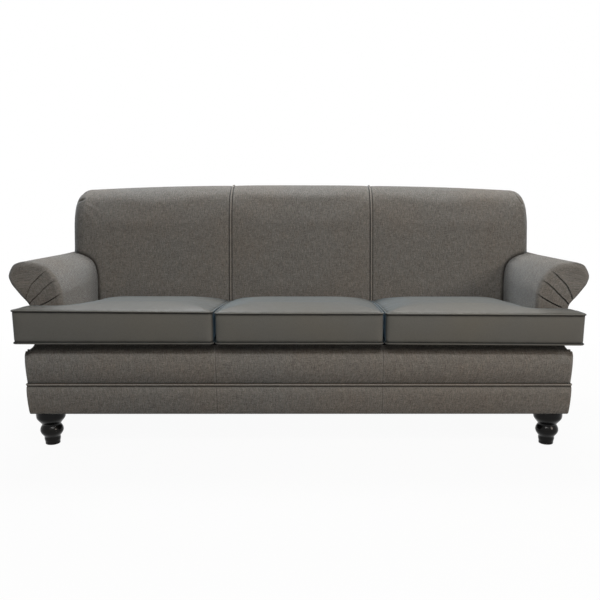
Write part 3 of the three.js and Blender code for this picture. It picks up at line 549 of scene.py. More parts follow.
# %% Lacquer
def make_lacquer(name):
    material, net, shader = new_material(name, colour(12, 12, 13))
    place = net.add("TexCoord", out=3)
    age = use_group(net, "age", Place=place, Bend=bend_of(net), Patch_Scale=14.0)
    base = net.mix(net.spread(age["Patch"], 0.4, 0.7, 0.0, 0.6), colour(6, 6, 7),
                   colour(16, 15, 14))
    base = net.mix(net.math("MULTIPLY", age["Rub"], 0.1), base, colour(50, 42, 35))
    gloss = net.spread(age["Cloud"], 0.3, 0.75, 0.12, 0.26)
    ripple = net.noise(place, 60.0, 2.0)
    bump = net.add("Bump", sockets={"Height": ripple, "Distance": 0.0006, "Strength": 0.12})
    set_shader(net, shader, Base_Color=base, Roughness=gloss, Normal=bump,
               Specular_IOR_Level=0.14)
    return material


lacquer = make_lacquer("leg_lacquer")


# %% [markdown]
# The boards inside are plain beech or birch, planed and unfinished. Their grain runs along
# the sofa, so the noise that draws it is stretched that way.

# %% Boards
def make_board_wood(name):
    material, net, shader = new_material(name, colour(180, 140, 94))
    place = net.add("TexCoord", out=3)
    stretched = net.add("Mapping", sockets={"Vector": place, "Scale": (3.0, 34.0, 34.0)})
    grain = net.noise(stretched, 2.2, 6.0, 0.62)
    fine = net.noise(stretched, 16.0, 3.0, 0.6)
    age = use_group(net, "age", Place=place, Patch_Scale=5.0)
    base = net.mix(net.spread(grain, 0.3, 0.72), colour(150, 110, 68), colour(206, 168, 120))
    base = net.mix(net.spread(fine, 0.55, 0.75, 0.0, 0.5), base, colour(120, 84, 50))
    base = net.mix(net.spread(age["Patch"], 0.4, 0.7, 0.0, 0.25), base, colour(214, 184, 140))
    bump = net.add("Bump", sockets={"Height": fine, "Distance": 0.0004, "Strength": 0.4})
    set_shader(net, shader, Base_Color=base, Roughness=net.spread(grain, 0.2, 0.8, 0.55, 0.75),
               Normal=bump)
    return material


board_wood = make_board_wood("frame_wood")


# %% [markdown]
# The springs are drawn steel wire with a thin, uneven skin of oil. Deck cloth, webbing and
# dust cover are plain weaves of different pitch, and the glides are pale nylon.

# %% Springs and backing cloths
def make_spring_steel(name):
    material, net, shader = new_material(name, colour(120, 122, 126))
    place = net.add("TexCoord", out=3)
    age = use_group(net, "age", Place=place, Patch_Scale=40.0)
    base = net.mix(net.spread(age["Patch"], 0.4, 0.7), colour(112, 114, 118),
                   colour(78, 70, 62))
    set_shader(net, shader, Base_Color=base, Metallic=0.9,
               Roughness=net.spread(age["Cloud"], 0.3, 0.7, 0.28, 0.5))
    return material


def make_backing(name, dark, light, pitch, roughness=0.95):
    material, net, shader = new_material(name, light)
    place = net.add("TexCoord", out=3)
    uv = net.add("UVMap", uv_map="cloth")
    weave = use_group(net, "weave", Cloth=uv, Pitch=pitch, Slub=0.2)
    age = use_group(net, "age", Place=place, Bend=bend_of(net), Patch_Scale=4.0)
    base = net.mix(net.spread(weave["Yarn"], 0.3, 0.7), dark, light)
    base = net.mix(net.spread(age["Cloud"], 0.3, 0.75, 0.0, 0.35), base, dark)
    bump = net.add("Bump", sockets={"Height": weave["Height"], "Distance": 0.0005,
                                    "Strength": 0.5})
    set_shader(net, shader, Base_Color=base, Roughness=roughness, Normal=bump)
    return material


def make_glide(name):
    material, net, shader = new_material(name, colour(207, 204, 194))
    place = net.add("TexCoord", out=3)
    age = use_group(net, "age", Place=place, Patch_Scale=60.0)
    base = net.mix(net.spread(age["Patch"], 0.35, 0.7), colour(207, 204, 194),
                   colour(168, 162, 150))
    set_shader(net, shader, Base_Color=base,
               Roughness=net.spread(age["Cloud"], 0.3, 0.7, 0.42, 0.62))
    return material


spring_steel = make_spring_steel("spring_steel")
deck_cloth = make_backing("deck_cloth", colour(34, 32, 30), colour(62, 60, 58), 0.0011)
jute = make_backing("jute_webbing", colour(120, 98, 60), colour(186, 160, 110), 0.0032)
dust_cloth = make_backing("dust_cloth", colour(16, 16, 16), colour(34, 34, 34), 0.0009)
glide_nylon = make_glide("glide_nylon")

# %% [markdown]
# ## Sizes
# The frame stands with its cushion fronts at the front of its box, so depths here are
# counted back from that plane, as an upholsterer counts them from the seat's front edge.

# %% Sizes
FRONT = cad_low.y
seat_half, base_half = 0.825, 0.943
arm_width, arm_flare = 0.118, 0.065
seam_half = 0.2875
leg_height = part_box("front_rail")[0].z
deck_low, deck_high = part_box("seat_deck")
deck_top = deck_high.z
arm_top, back_top = 0.651, 0.920
arm_setback, seat_depth, total_depth = 0.105, 0.526, 0.860
cover = 0.010
fit = 0.0003
rear_foot, rear_rake, back_lean = 0.810, 0.056, 0.174
BACK_RISE = 0.55
upright_share, roll_share = 0.18, 0.745
face_top = deck_top + upright_share * BACK_RISE
print("deck at", round(deck_top, 4), "back leans from", round(face_top, 4))


def rear_at(z):
    return rear_foot + (z - leg_height) * rear_rake


def face_at(z):
    return seat_depth + np.maximum(0, z - face_top) * back_lean


def through(controls, count):
    """Evenly spaced points on a smooth line through a few given ones."""
    p = np.asarray(controls, float)
    p = np.vstack([2 * p[0] - p[1], p, 2 * p[-1] - p[-2]])
    knots = np.concatenate([[0], np.cumsum(np.sqrt(np.linalg.norm(np.diff(p, axis=0), axis=1)))])
    fine = []
    for i in range(1, len(p) - 2):
        t0, t1, t2, t3 = knots[i - 1:i + 3]
        t = np.linspace(t1, t2, 24, endpoint=False)[:, None]
        a1 = (t1 - t) / (t1 - t0) * p[i - 1] + (t - t0) / (t1 - t0) * p[i]
        a2 = (t2 - t) / (t2 - t1) * p[i] + (t - t1) / (t2 - t1) * p[i + 1]
        a3 = (t3 - t) / (t3 - t2) * p[i + 1] + (t - t2) / (t3 - t2) * p[i + 2]
        b1 = (t2 - t) / (t2 - t0) * a1 + (t - t0) / (t2 - t0) * a2
        b2 = (t3 - t) / (t3 - t1) * a2 + (t - t1) / (t3 - t1) * a3
        fine.append((t2 - t) / (t2 - t1) * b1 + (t - t1) / (t2 - t1) * b2)
    fine = np.vstack([*fine, p[-2:-1]])
    run = np.concatenate([[0], np.cumsum(np.linalg.norm(np.diff(fine, axis=0), axis=1))])
    at = np.linspace(0, run[-1], count)
    return np.stack([np.interp(at, run, fine[:, k]) for k in range(p.shape[1])], axis=1)


def curled(length, radius, count):
    """Stations along a panel whose two ends roll over an edge: place along it, and drop."""
    quarter = radius * math.pi / 2
    a = np.linspace(0, length - 2 * radius + 2 * quarter, count)
    far = a[-1] - a
    near = np.minimum(a, far)
    turn = np.minimum(near / radius, math.pi / 2)
    place = np.where(near < quarter, radius - radius * np.cos(turn), radius + near - quarter)
    return np.where(a <= far, place, length - place), radius - radius * np.sin(turn)


def backed(piece, thickness=0.009):
    return with_modifier(piece, "SOLIDIFY", thickness=thickness, offset=-1.0,
                         use_even_offset=False)


# %% [markdown]
# ## Welt cord
# A welt is a strip of cover folded round a cord and sewn into a seam. The strip is wrapped
# round a path here, so that its weave runs along it as it does on a real bias strip.

# %% Welt cord
def welt(name, path, radius, normal, closed=False, around=12):
    path = np.asarray(path, float)
    ahead = np.roll(path, -1, axis=0) - np.roll(path, 1, axis=0)
    if not closed:
        ahead[0], ahead[-1] = path[1] - path[0], path[-1] - path[-2]
    else:
        path = np.vstack([path, path[:1]])
        ahead = np.vstack([ahead, ahead[:1]])
    ahead /= np.linalg.norm(ahead, axis=1, keepdims=True)
    up = np.broadcast_to(np.asarray(normal, float), path.shape)
    side = np.cross(ahead, up)
    side /= np.linalg.norm(side, axis=1, keepdims=True)
    swell = np.full(len(path), radius)
    if not closed:
        swell[0] = swell[-1] = 0.0
    turn = np.linspace(0, 2 * math.pi, around + 1)

    def wrap(s, t):
        ring = (np.cos(turn)[None, :, None] * side[:, None, :]
                + np.sin(turn)[None, :, None] * up[:, None, :])
        return path[:, None, :] + ring * swell[:, None, None]

    piece = cloth(name, around, len(path) - 1, wrap)
    sew(piece, 1e-6)
    edit(piece, (bpy.ops.mesh.normals_make_consistent, {"inside": False}))
    return piece


# %% [markdown]
# ## Inside back
# The back is tight: three panels of tweed over foam, sewn together with welted seams and
# pulled over the top into a soft roll. Each panel is one cloth wrapped along the line of
# the back, from the seat up the face, over the roll and down to the outside back. The
# outer panels also turn round the end of the back, where their corners are tucked.

# %% Line of the back
END_RADIUS, END_DROP, END_SQUARENESS = 0.075, 0.092, 1.5
CROWN_DROP = 0.019
SEAM_DIP, SEAM_REACH = 0.0065, 0.0045
back_foot = deck_top + fit
roll_base = deck_top + BACK_RISE * roll_share
outside_top = 0.7459
roll_front_height, roll_front_reach = 0.872, 0.03
roll_front_depth, roll_front_fade = 0.74, 0.06
EXTRA_ROWS = 3
DIP_FADE = 12
SPINE_DROP = 0.13
back_face = [(0, 0), (0.18, 0), (0.38, 0.7), (0.5, 1), (0.63, 1)]
back_roll = [
    (0, 0, 1, 0), (0.057, 0.356, 0.95, 0.3), (0.15, 0.655, 0.75, 0.65),
    (0.293, 0.868, 0.45, 0.9), (0.457, 0.975, 0.1, 1), (0.611, 1, 0, 1),
    (0.771, 0.947, -0.1, 0.95), (0.9, 0.783, -0.3, 0.75), (0.975, 0.534, -0.4, 0.4),
    (1, 0.249, -0.4, 0.12), (0.986, -0.04, -0.2, 0),
]


def back_line(x, drawn, dip, count):
    """The line of the back at x, as depth and height. drawn is 0 on the face and 1 where
    the cover has turned round the end, and dip is how deep a seam pulls it in. The rows
    stand closer on the front of the roll, where the light changes fastest."""
    line = []
    for rise, inward in back_face:
        z = back_foot + rise * BACK_RISE
        line.append((face_at(z) + inward * drawn * END_RADIUS, z))
    for run, rise, inward, down in back_roll:
        start = face_at(roll_base)
        line.append((start + run * (total_depth - start) + inward * drawn * END_RADIUS,
                     roll_base + rise * (back_top - roll_base)
                     - down * drawn ** END_SQUARENESS * END_DROP))
    line.append((rear_at(outside_top), outside_top + fit))
    line = np.array(line)
    sunk = CROWN_DROP * min(1, abs(x) / (base_half - END_RADIUS)) ** 2
    crown_start = deck_top + BACK_RISE / 2
    line[:-1, 1] -= sunk * np.clip((line[:-1, 1] - crown_start) / (back_top - crown_start), 0, 1)
    fine = through(line, 4 * count)
    roll = np.exp(-((fine[:, 1] - roll_front_height) / roll_front_reach) ** 2)
    roll = roll * np.clip((roll_front_depth - fine[:, 0]) / roll_front_fade, 0, 1)
    dense = np.cumsum(1 + EXTRA_ROWS * roll)
    at = np.linspace(dense[0], dense[-1], count)
    fine = np.stack([np.interp(at, dense, fine[:, k]) for k in (0, 1)], axis=1)
    step = np.gradient(fine, axis=0)
    inwards = np.stack([step[:, 1], -step[:, 0]], axis=1)
    inwards /= np.linalg.norm(inwards, axis=1, keepdims=True)
    share = np.linspace(0, 1, count)
    fade = np.clip(share * DIP_FADE, 0, 1) * np.clip((1 - share) * DIP_FADE, 0, 1)
    return fine + inwards * (dip * fade)[:, None]


def back_spine(line):
    """Where the end of the back closes: a line up the middle of its thickness."""
    z = np.clip(line[:, 1], back_foot, back_top - SPINE_DROP)
    return np.stack([(face_at(z) + END_RADIUS + rear_at(z) - cover) / 2, z], axis=1)


# %% [markdown]
# Columns of points stand close together by a seam, where the cover dips, and further apart
# on the face. Below the arms the ends of the outer panels step in, behind the outside arms.

# %% Back panels
BACK_ROWS, TAIL_ROWS = 100, 9
TAIL_FOOT = 0.60
NOTCH_TOP, NOTCH_RUN, NOTCH_DEPTH = 0.632, 0.012, 0.0108
seam_runs = np.array([0.00015, 0.0012, 0.0025, 0.0042, 0.0065, 0.0095, 0.0135, 0.019, 0.027])
seam_run = seam_runs[-1]


def seam_dip(run):
    return SEAM_DIP * np.exp(-run / SEAM_REACH)


def back_panel(name, side):
    """The wrapped cloth of one panel; side is -1, 0 or 1. A column holds its x, how far
    it is drawn round the end, the dip of its seam and how far it closes the end."""
    columns = []
    if side == 0:
        span = np.linspace(-seam_half + seam_run, seam_half - seam_run, 50)
        xs = np.concatenate([-seam_half + seam_runs[:-1], span, seam_half - seam_runs[-2::-1]])
        columns = [(x, 0.0, float(seam_dip(seam_half - abs(x))), 0.0) for x in xs]
    else:
        flat = np.linspace(seam_half + seam_run, base_half - END_RADIUS, 60)
        for x in np.concatenate([seam_half + seam_runs[:-1], flat]):
            columns.append((x, 0.0, float(seam_dip(x - seam_half)), 0.0))
        for turn in np.linspace(0, math.pi / 2, 29)[1:]:
            columns.append((base_half - END_RADIUS * (1 - math.sin(turn)),
                            1 - math.cos(turn), 0.0, 0.0))
        for shrink in np.linspace(0, 1, 12)[1:]:
            columns.append((base_half, 1.0, 0.0, shrink))

    def wrap(s, t):
        grid = []
        for x, drawn, dip, shrink in columns:
            line = back_line(x, drawn, dip, BACK_ROWS - TAIL_ROWS)
            tail_z = np.linspace(outside_top, TAIL_FOOT, TAIL_ROWS + 1)[1:]
            tail = np.stack([rear_at(tail_z) - cover - fit, tail_z], axis=1)
            line = np.vstack([line, tail])
            line = line + shrink * (back_spine(line) - line)
            across = np.full(len(line), x)
            if side:
                notch = np.clip((NOTCH_TOP - line[:, 1]) / NOTCH_RUN, 0, 1)
                across = np.minimum(across, base_half - NOTCH_DEPTH * notch)
            grid.append(np.stack([across * (side or 1), line[:, 0] + FRONT, line[:, 1]], axis=1))
        return np.stack(grid, axis=1)

    return cloth(name, len(columns) - 1, BACK_ROWS - 1, wrap)


def rim_weights(piece):
    """1 on the open edges of a cloth and 0 away from them."""
    faces = np.zeros(len(piece.data.edges), int)
    of_loops = np.empty(len(piece.data.loops), np.int32)
    piece.data.loops.foreach_get("edge_index", of_loops)
    np.add.at(faces, of_loops, 1)
    ends = np.empty(len(piece.data.edges) * 2, np.int32)
    piece.data.edges.foreach_get("vertices", ends)
    rim = np.unique(ends.reshape(-1, 2)[faces == 1])
    weights = np.zeros(len(piece.data.vertices))
    weights[rim] = 1
    return weights


# %% Pad the back panels
HELD_AT_SEAM, HELD_AT_END = 0.010, 0.8
BACK_SWELL = 0.006
backs = {}
for word, side in (("left", -1), ("centre", 0), ("right", 1)):
    panel = back_panel("back_panel_" + word, side)
    middle_of_panel = (side * 0.55, FRONT + 0.70, 0.62)
    sew(panel)
    outward(panel, middle_of_panel)
    co = points_of(panel)
    weights = rim_weights(panel)
    weights[(co[:, 1] > FRONT + 0.80) & (co[:, 2] < outside_top + 0.02)] = 1
    weights[np.abs(np.abs(co[:, 0]) - seam_half) < HELD_AT_SEAM] = 1
    weights[np.abs(co[:, 0]) > base_half - END_RADIUS * HELD_AT_END] = 1
    puff(panel, pressure=3.0, cap=BACK_SWELL, weights=weights)
    with_modifier(panel, "SUBSURF", levels=1, render_levels=1)
    backs[word] = panel
    print(panel.name, len(panel.data.polygons), "faces")

# %% [markdown]
# The welts of the back lie in its two seams, from the seat up over the roll. They follow
# the line of the back without its dip, so they stand a little out of the seam.

# %% Back welts
BACK_WELT_RADIUS, WELT_SINK = 0.0036, 0.0006
for word, side in (("left", -1), ("right", 1)):
    line = back_line(seam_half, 0, 0.0, 90)
    path = np.stack([np.full(len(line), side * seam_half), line[:, 0] + FRONT + WELT_SINK,
                     line[:, 1]], axis=1)
    piece = welt("back_welt_cord_" + word, path[:-3], BACK_WELT_RADIUS, (1, 0, 0))
    hand_over(piece, tweed_welt, "tweed_cover", "back_welt_" + word)

# %% [markdown]
# ## Rolled arms
# Each arm rises from the seat, leans out and rolls over. Its cover runs from the seat side
# over the roll, and at the front it is drawn together in three pleats that fan up from
# under the roll. The front edge is soft, with no facing board, and a flat piece of cover
# closes the rear end of the roll.

# %% Outline of the arm
ARM_ROUND = 0.016
arm_front = [
    (0, 0, 0), (0, 0, 0.51), (0.009, 0, 0.634), (0.109, 0, 0.768), (0.243, 0, 0.866),
    (0.435, 0, 0.951), (0.722, 0, 0.995), (1, 0.159, 1), (1, 0.476, 0.986),
    (1, 0.698, 0.961), (1, 0.841, 0.915), (1, 0.952, 0.863), (1, 1, 0.817),
    (1, 0.952, 0.768), (1, 0.873, 0.722), (1, 0.73, 0.673), (1, 0.413, 0.577),
    (1, 0.063, 0.479), (1, 0, 0.437), (1, 0, 0),
]
arm_rear = [
    (0, 0, 0), (0.005, 0, 0.5), (0.02, 0, 0.66), (0.07, 0, 0.775), (0.16, 0, 0.86),
    (0.32, 0, 0.92), (0.58, 0, 0.965), (0.9, 0, 0.985), (1, 0.22, 0.976), (1, 0.5, 0.955),
    (1, 0.76, 0.915), (1, 0.94, 0.858), (1, 1, 0.81), *arm_front[13:],
]
arm_foot = deck_top + fit
APEX = 12


def arm_point(width, flare, rise):
    return (seat_half + width * arm_width + flare * arm_flare,
            arm_foot + rise * (arm_top - arm_foot))


def arm_outline(share, half):
    """The outline from the seat side to the outside, with as many points before its
    outermost point as after it."""
    front = np.array([arm_point(*p) for p in arm_front])
    rear = np.array([arm_point(*p) for p in arm_rear])
    corners = front + share * (rear - front)
    inner = through(corners[:APEX + 2], 400)
    cut_at = np.argmin(np.linalg.norm(inner - corners[APEX], axis=1))
    inner = through(inner[:cut_at + 1:4], half + 1)
    outer = through(corners[APEX - 1:], 400)
    cut_at = np.argmin(np.linalg.norm(outer - corners[APEX], axis=1))
    outer = through(outer[cut_at::4], half + 1)
    return np.vstack([inner, outer[1:]])


def drawn_in(outline, distance):
    step = np.gradient(outline, axis=0)
    inwards = np.stack([step[:, 1], -step[:, 0]], axis=1)
    inwards /= np.linalg.norm(inwards, axis=1, keepdims=True)
    return outline + inwards * distance


def back_front_at(x, z):
    """Depth of the face of the back, with its rounded end."""
    share = np.interp((z - back_foot) / BACK_RISE, *np.array(back_face).T)
    into = np.clip((np.abs(x) - (base_half - END_RADIUS)) / END_RADIUS, 0, 1)
    return face_at(z) + share * (1 - np.sqrt(1 - into ** 2)) * END_RADIUS


# %% [markdown]
# The outline is swept from a rounded front edge to where the cover ends: against the back
# on the seat side, at the rear of the sofa on the roll, and just behind the front edge
# below the roll, where the outside arm takes over. The front gets a flat piece, and so
# does the rear end of the roll.

# %% Cover of the arm
HALF = 74
ARM_STATIONS = 42
under_roll = 0.5924
stump_front = arm_setback + 0.0203
touch = 0.0006
END_TUCK, END_TUCK_RUN = 0.006, 0.012
REAR_INSET, REAR_SINK, REAR_STEP, REAR_STEP_RUN = 0.003, 0.005, 0.0015, 0.010


def arm_cover(name, side):
    front, rear = arm_outline(0, HALF), arm_outline(1, HALF)
    ends = np.where(rear[:, 0] < base_half + fit, back_front_at(rear[:, 0], rear[:, 1]) - touch,
                    rear_at(rear[:, 1]))
    lower = (np.arange(len(front)) > HALF) & (rear[:, 1] < under_roll)
    ends[lower] = stump_front
    turns = np.linspace(0, math.pi / 2, 7)
    runs = np.concatenate([np.linspace(0, 1, ARM_STATIONS)[:-1], [0.985, 1.0]])
    straight_from = arm_setback + ARM_ROUND

    def at(depth):
        share = np.clip((depth - arm_setback) / (seat_depth - arm_setback), 0, 1)
        return front + share[:, None] * (rear - front)

    def wrap(s, t):
        stations = []
        for turn in turns[:-1]:
            depth = np.full(len(front), arm_setback + ARM_ROUND * (1 - math.cos(turn)))
            place = drawn_in(at(depth), ARM_ROUND * (1 - math.sin(turn)))
            stations.append(np.column_stack([place[:, 0] * side, depth + FRONT, place[:, 1]]))
        for run in runs:
            depth = straight_from + run * (ends - straight_from)
            tuck = END_TUCK * np.clip(1 - (ends - depth) / END_TUCK_RUN, 0, 1) ** 2
            tuck[lower] = 0
            place = drawn_in(at(depth), tuck[:, None])
            stations.append(np.column_stack([place[:, 0] * side, depth + FRONT, place[:, 1]]))
        return np.stack(stations, axis=0)

    strip = cloth(name, 2 * HALF, len(turns) - 1 + len(runs) - 1, wrap)

    def face(s, t):
        rim = drawn_in(front, ARM_ROUND)
        inner, outer = rim[:HALF + 1], rim[HALF:][::-1]
        flat = inner[:, None, :] + s[None, :, None] * (outer - inner)[:, None, :]
        depth = np.full(flat.shape[:2], arm_setback + FRONT)
        return np.stack([flat[..., 0] * side, depth, flat[..., 1]], axis=2)

    beyond = np.flatnonzero(rear[:, 0] >= base_half + fit)
    rim = drawn_in(rear, END_TUCK)[beyond]
    ramp = np.clip((under_roll - rear[beyond, 1]) / REAR_STEP_RUN, 0, 1)
    rim_depth = rear_at(rear[beyond, 1]) - (cover + REAR_STEP) * ramp

    def rear_face(s, t):
        x = rim[:, :1] + s[None, :] * (base_half - REAR_INSET - rim[:, :1])
        depth = rim_depth[:, None] - REAR_SINK * s[None, :]
        return np.stack([x * side, depth + FRONT, np.broadcast_to(rim[:, 1:], x.shape)], axis=2)

    front_face = cloth(name + "_front", 28, HALF, face)
    rear_end = cloth(name + "_rear", 8, len(beyond) - 1, rear_face)
    only(strip, front_face, rear_end)
    bpy.ops.object.join()
    sew(strip, 2e-5)
    edit(strip, (bpy.ops.mesh.normals_make_consistent, {"inside": False}))
    outward(strip, (side * 0.93, FRONT + 0.40, 0.52))
    with_modifier(strip, "SUBSURF", levels=1, render_levels=1)
    return strip


# %% [markdown]
# The pleats are folds: the cloth above each line rises to a lip and lies over the cloth
# below, which starts deep under the lip. Every point near a pleat is moved by a saw-tooth
# of its distance from the line, which fades out at the upper end.

# %% Pleats
pleat_lines = [
    [(1, 0.12, 0.53), (1, 0.05, 0.59), (0.95, 0, 0.657), (0.86, 0, 0.72), (0.73, 0, 0.775),
     (0.55, 0, 0.845), (0.38, 0, 0.9)],
    [(1, 0, 0.47), (0.87, 0, 0.525), (0.7, 0, 0.59), (0.55, 0, 0.652), (0.34, 0, 0.73),
     (0.2, 0, 0.765), (0.1, 0, 0.775)],
    [(0.78, 0, 0.44), (0.66, 0, 0.46), (0.4, 0, 0.513), (0.15, 0, 0.574), (0.01, 0, 0.612)],
]
FOLD_DEPTH_OF_ARM = 0.03
LIP, LIP_REACH = 0.0036, 0.014
ROOT, ROOT_REACH, ROOT_WIDTH = 0.0042, 0.0055, 0.0012
START_RUN, END_RUN, PAST_END = 0.05, 0.25, 0.006


def fold(piece, side):
    co = points_of(piece)
    near = (co[:, 1] < FRONT + arm_setback + FOLD_DEPTH_OF_ARM)
    flat = np.column_stack([co[:, 0] * side, co[:, 2]])
    push = np.zeros(len(co))
    for controls in pleat_lines:
        line = through([arm_point(*p) for p in controls], 160)
        gap = flat[near][:, None, :] - line[None]
        distance = np.linalg.norm(gap, axis=2)
        closest = distance.argmin(1)
        step = np.gradient(line, axis=0)[closest]
        step /= np.linalg.norm(step, axis=1, keepdims=True)
        offset = gap[np.arange(len(closest)), closest]
        above = -(step[:, 0] * offset[:, 1] - step[:, 1] * offset[:, 0])
        run = closest / (len(line) - 1)
        fade = np.clip(run / START_RUN, 0, 1) * np.clip((1 - run) / END_RUN, 0, 1) ** 0.7
        beyond = distance.min(1)
        past = np.where((closest == 0) | (closest == len(line) - 1),
                        np.clip(1 - (beyond - np.abs(above)) / PAST_END, 0, 1), 1)
        lip = LIP * np.exp(-np.abs(above) / LIP_REACH)
        root = -ROOT * np.exp(-np.abs(above) / ROOT_REACH)
        saw = np.where(above > 0, lip, root)
        ease = np.clip(np.abs(above) / ROOT_WIDTH, 0, 1)
        saw = saw * ease - ROOT * (1 - ease)
        push[near] += saw * fade * past
    forward = np.clip(-normals_of(piece)[:, 1], 0, 1) ** 0.5
    co[:, 1] -= push * forward
    set_points(piece, co)
    return piece


# %% [markdown]
# Two lines on each arm are painted dark as shade: where it meets the back, for the shadow in
# that join, and the outer rim of its front, where the front is sewn to the cover.

# %% Fold and finish the arms
ARM_THICKNESS = 0.008
BACK_JOIN_REACH = 0.007
RIM_INSET, RIM_REACH, RIM_SHADE, RIM_DEPTH, RIM_START = 0.003, 0.0035, 0.7, 0.012, HALF - 14


def gaps_to(co, line):
    """Distance of points to the points of a line in x and z, the same on both sides."""
    return np.hypot(np.abs(co[:, 0])[:, None] - line[None, :, 0],
                    co[:, 2][:, None] - line[None, :, 1])


for word, side in (("left", -1), ("right", 1)):
    arm = arm_cover("rolled_arm_" + word, side)
    fold(arm, side)
    co = points_of(arm)
    # painted shade along the join with the back, and round the rim of the front
    behind = back_front_at(co[:, 0], co[:, 2]) - (co[:, 1] - FRONT)
    near = np.where(np.abs(co[:, 0]) < base_half, np.exp(-(behind / BACK_JOIN_REACH) ** 2), 0)
    rim = drawn_in(arm_outline(0, HALF), RIM_INSET)[RIM_START:]
    front = np.flatnonzero(co[:, 1] < FRONT + arm_setback + RIM_DEPTH)
    gap = gaps_to(co[front], rim).min(1)
    near[front] = np.maximum(near[front], RIM_SHADE * np.exp(-(gap / RIM_REACH) ** 2))
    mark_painted_shade(arm, near)
    backed(arm, ARM_THICKNESS)
    hand_over(arm, tweed, "tweed_cover", "arm_" + word, fill=0.9)
    print(arm.name, len(arm.data.polygons), "faces")

# %% [markdown]
# The back is finished after the arms, because its painted shade beside them follows their
# line. At its upper corners the cover is gathered into small tucks, two on the left and one
# on the right, and the seams, the tucks and the foot of each arm get painted shade.

# %% Finish the back panels
BACK_THICKNESS = 0.010
ARM_JOIN_REACH = 0.008
SEAM_FLAT, SEAM_FADE = 0.0052, 0.004
TUCK_SINK, TUCK_WIDTH, TUCK_MARK, TUCK_SHADE = 0.006, 0.0042, 0.0022, 0.85
TUCK_FADE = 0.4


def beside_arm(co, reach):
    """How near points of the back are to the line where an arm meets it."""
    return np.exp(-(gaps_to(co, arm_outline(1, HALF)).min(1) / reach) ** 2)


corner_tucks = {
    "left": [[(0.9185, 0.8795), (0.907, 0.888), (0.893, 0.8945)],
             [(0.9195, 0.853), (0.905, 0.8595), (0.8876, 0.8633)]],
    "right": [[(0.917, 0.846), (0.905, 0.868), (0.8895, 0.8925)]]}
for word, panel in backs.items():
    co, normal = points_of(panel), normals_of(panel)
    # painted shade in the seams, then in the tucks and beside the arms
    near = np.clip(1 - (np.abs(np.abs(co[:, 0]) - seam_half) - SEAM_FLAT) / SEAM_FADE, 0, 1)
    if word != "centre":
        face = np.flatnonzero(co[:, 1] < FRONT + 0.72)
        for tuck in corner_tucks[word]:
            line = through(tuck, 60)
            gap = gaps_to(co[face], line)
            fade = np.clip((1 - gap.argmin(1) / 59) / TUCK_FADE, 0, 1)
            sink = TUCK_SINK * np.exp(-(gap.min(1) / TUCK_WIDTH) ** 2) * fade
            co[face] -= normal[face] * sink[:, None]
            shade = TUCK_SHADE * np.exp(-(gap.min(1) / TUCK_MARK) ** 2) * fade
            near[face] = np.maximum(near[face], shade)
        set_points(panel, co)
        low_face = np.flatnonzero((co[:, 1] < FRONT + 0.62) & (co[:, 2] < arm_top + 0.02))
        near[low_face] = np.maximum(near[low_face], beside_arm(co[low_face], ARM_JOIN_REACH))
    mark_painted_shade(panel, near)
    backed(panel, BACK_THICKNESS)
    hand_over(panel, tweed, "tweed_cover", "inside_back_" + word, fill=0.9)

# %% [markdown]
# ## Outside arms
# A flat panel closes each side. It is slid under the roll, follows the underside of the
# roll down to the frame, and ends at the welt of the base. Its front edge slants back under
# the cushion's wing, so that the corner of the seat looks cut down.

# %% Outside arms
border_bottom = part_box("front_border")[0].z
deck_front = 0.0703
ROWS = 40
SLANT_DROP, SLANT_RUN = 0.027, 0.012
EDGE_CURL, CURL_SINK = 0.008, 0.6
OUTSIDE_ARM_THICKNESS = 0.0085


def outside_arm(name, side):
    corners = np.array([arm_point(*p) for p in arm_front])
    last = len(corners) - 1
    inner = corners[APEX:last].copy()
    share = (corners[APEX, 1] - under_roll + touch) / (corners[APEX, 1] - corners[APEX + 1, 1])
    inner[0] = corners[APEX] + share * (corners[APEX + 1] - corners[APEX])
    upper = through(inner, ROWS)
    lower = np.column_stack([np.full(ROWS, base_half),
                             np.linspace(upper[-1, 1], border_bottom, ROWS + 1)[1:]])
    line = np.vstack([upper, lower])
    slant = np.clip((line[:, 1] - (deck_top - SLANT_DROP)) / SLANT_RUN, 0, 1)
    starts = deck_front + fit + slant * (stump_front + 0.0001 - deck_front)

    def wrap(s, t):
        curl, drop = curled(1.0, EDGE_CURL, len(t))
        ends = rear_at(line[:, 1]) - cover - fit
        depth = starts[None, :] + curl[:, None] * (ends - starts)[None, :]
        x = line[None, :, 0] - CURL_SINK * drop[:, None]
        return np.stack([x * side, depth + FRONT, np.broadcast_to(line[None, :, 1], x.shape)],
                        axis=2)

    piece = cloth(name, len(line) - 1, 60, wrap)
    outward(piece, (0, FRONT + 0.4, 0.4))
    with_modifier(piece, "SUBSURF", levels=1, render_levels=1)
    return backed(piece, OUTSIDE_ARM_THICKNESS)


for word, side in (("left", -1), ("right", 1)):
    piece = outside_arm("outside_arm_panel_" + word, side)
    hand_over(piece, tweed, "tweed_cover", "outside_arm_" + word, fill=0.8)

# %% [markdown]
# ## Outside back
# One plain panel closes the rear, from under the roll down to the lower edge of the
# frame. Its edges are blind stitched, so they turn in with a small radius.

# %% Outside back
OUTSIDE_EDGE, OUTSIDE_BULGE, OUTSIDE_THICKNESS = 0.006, 0.004, 0.004


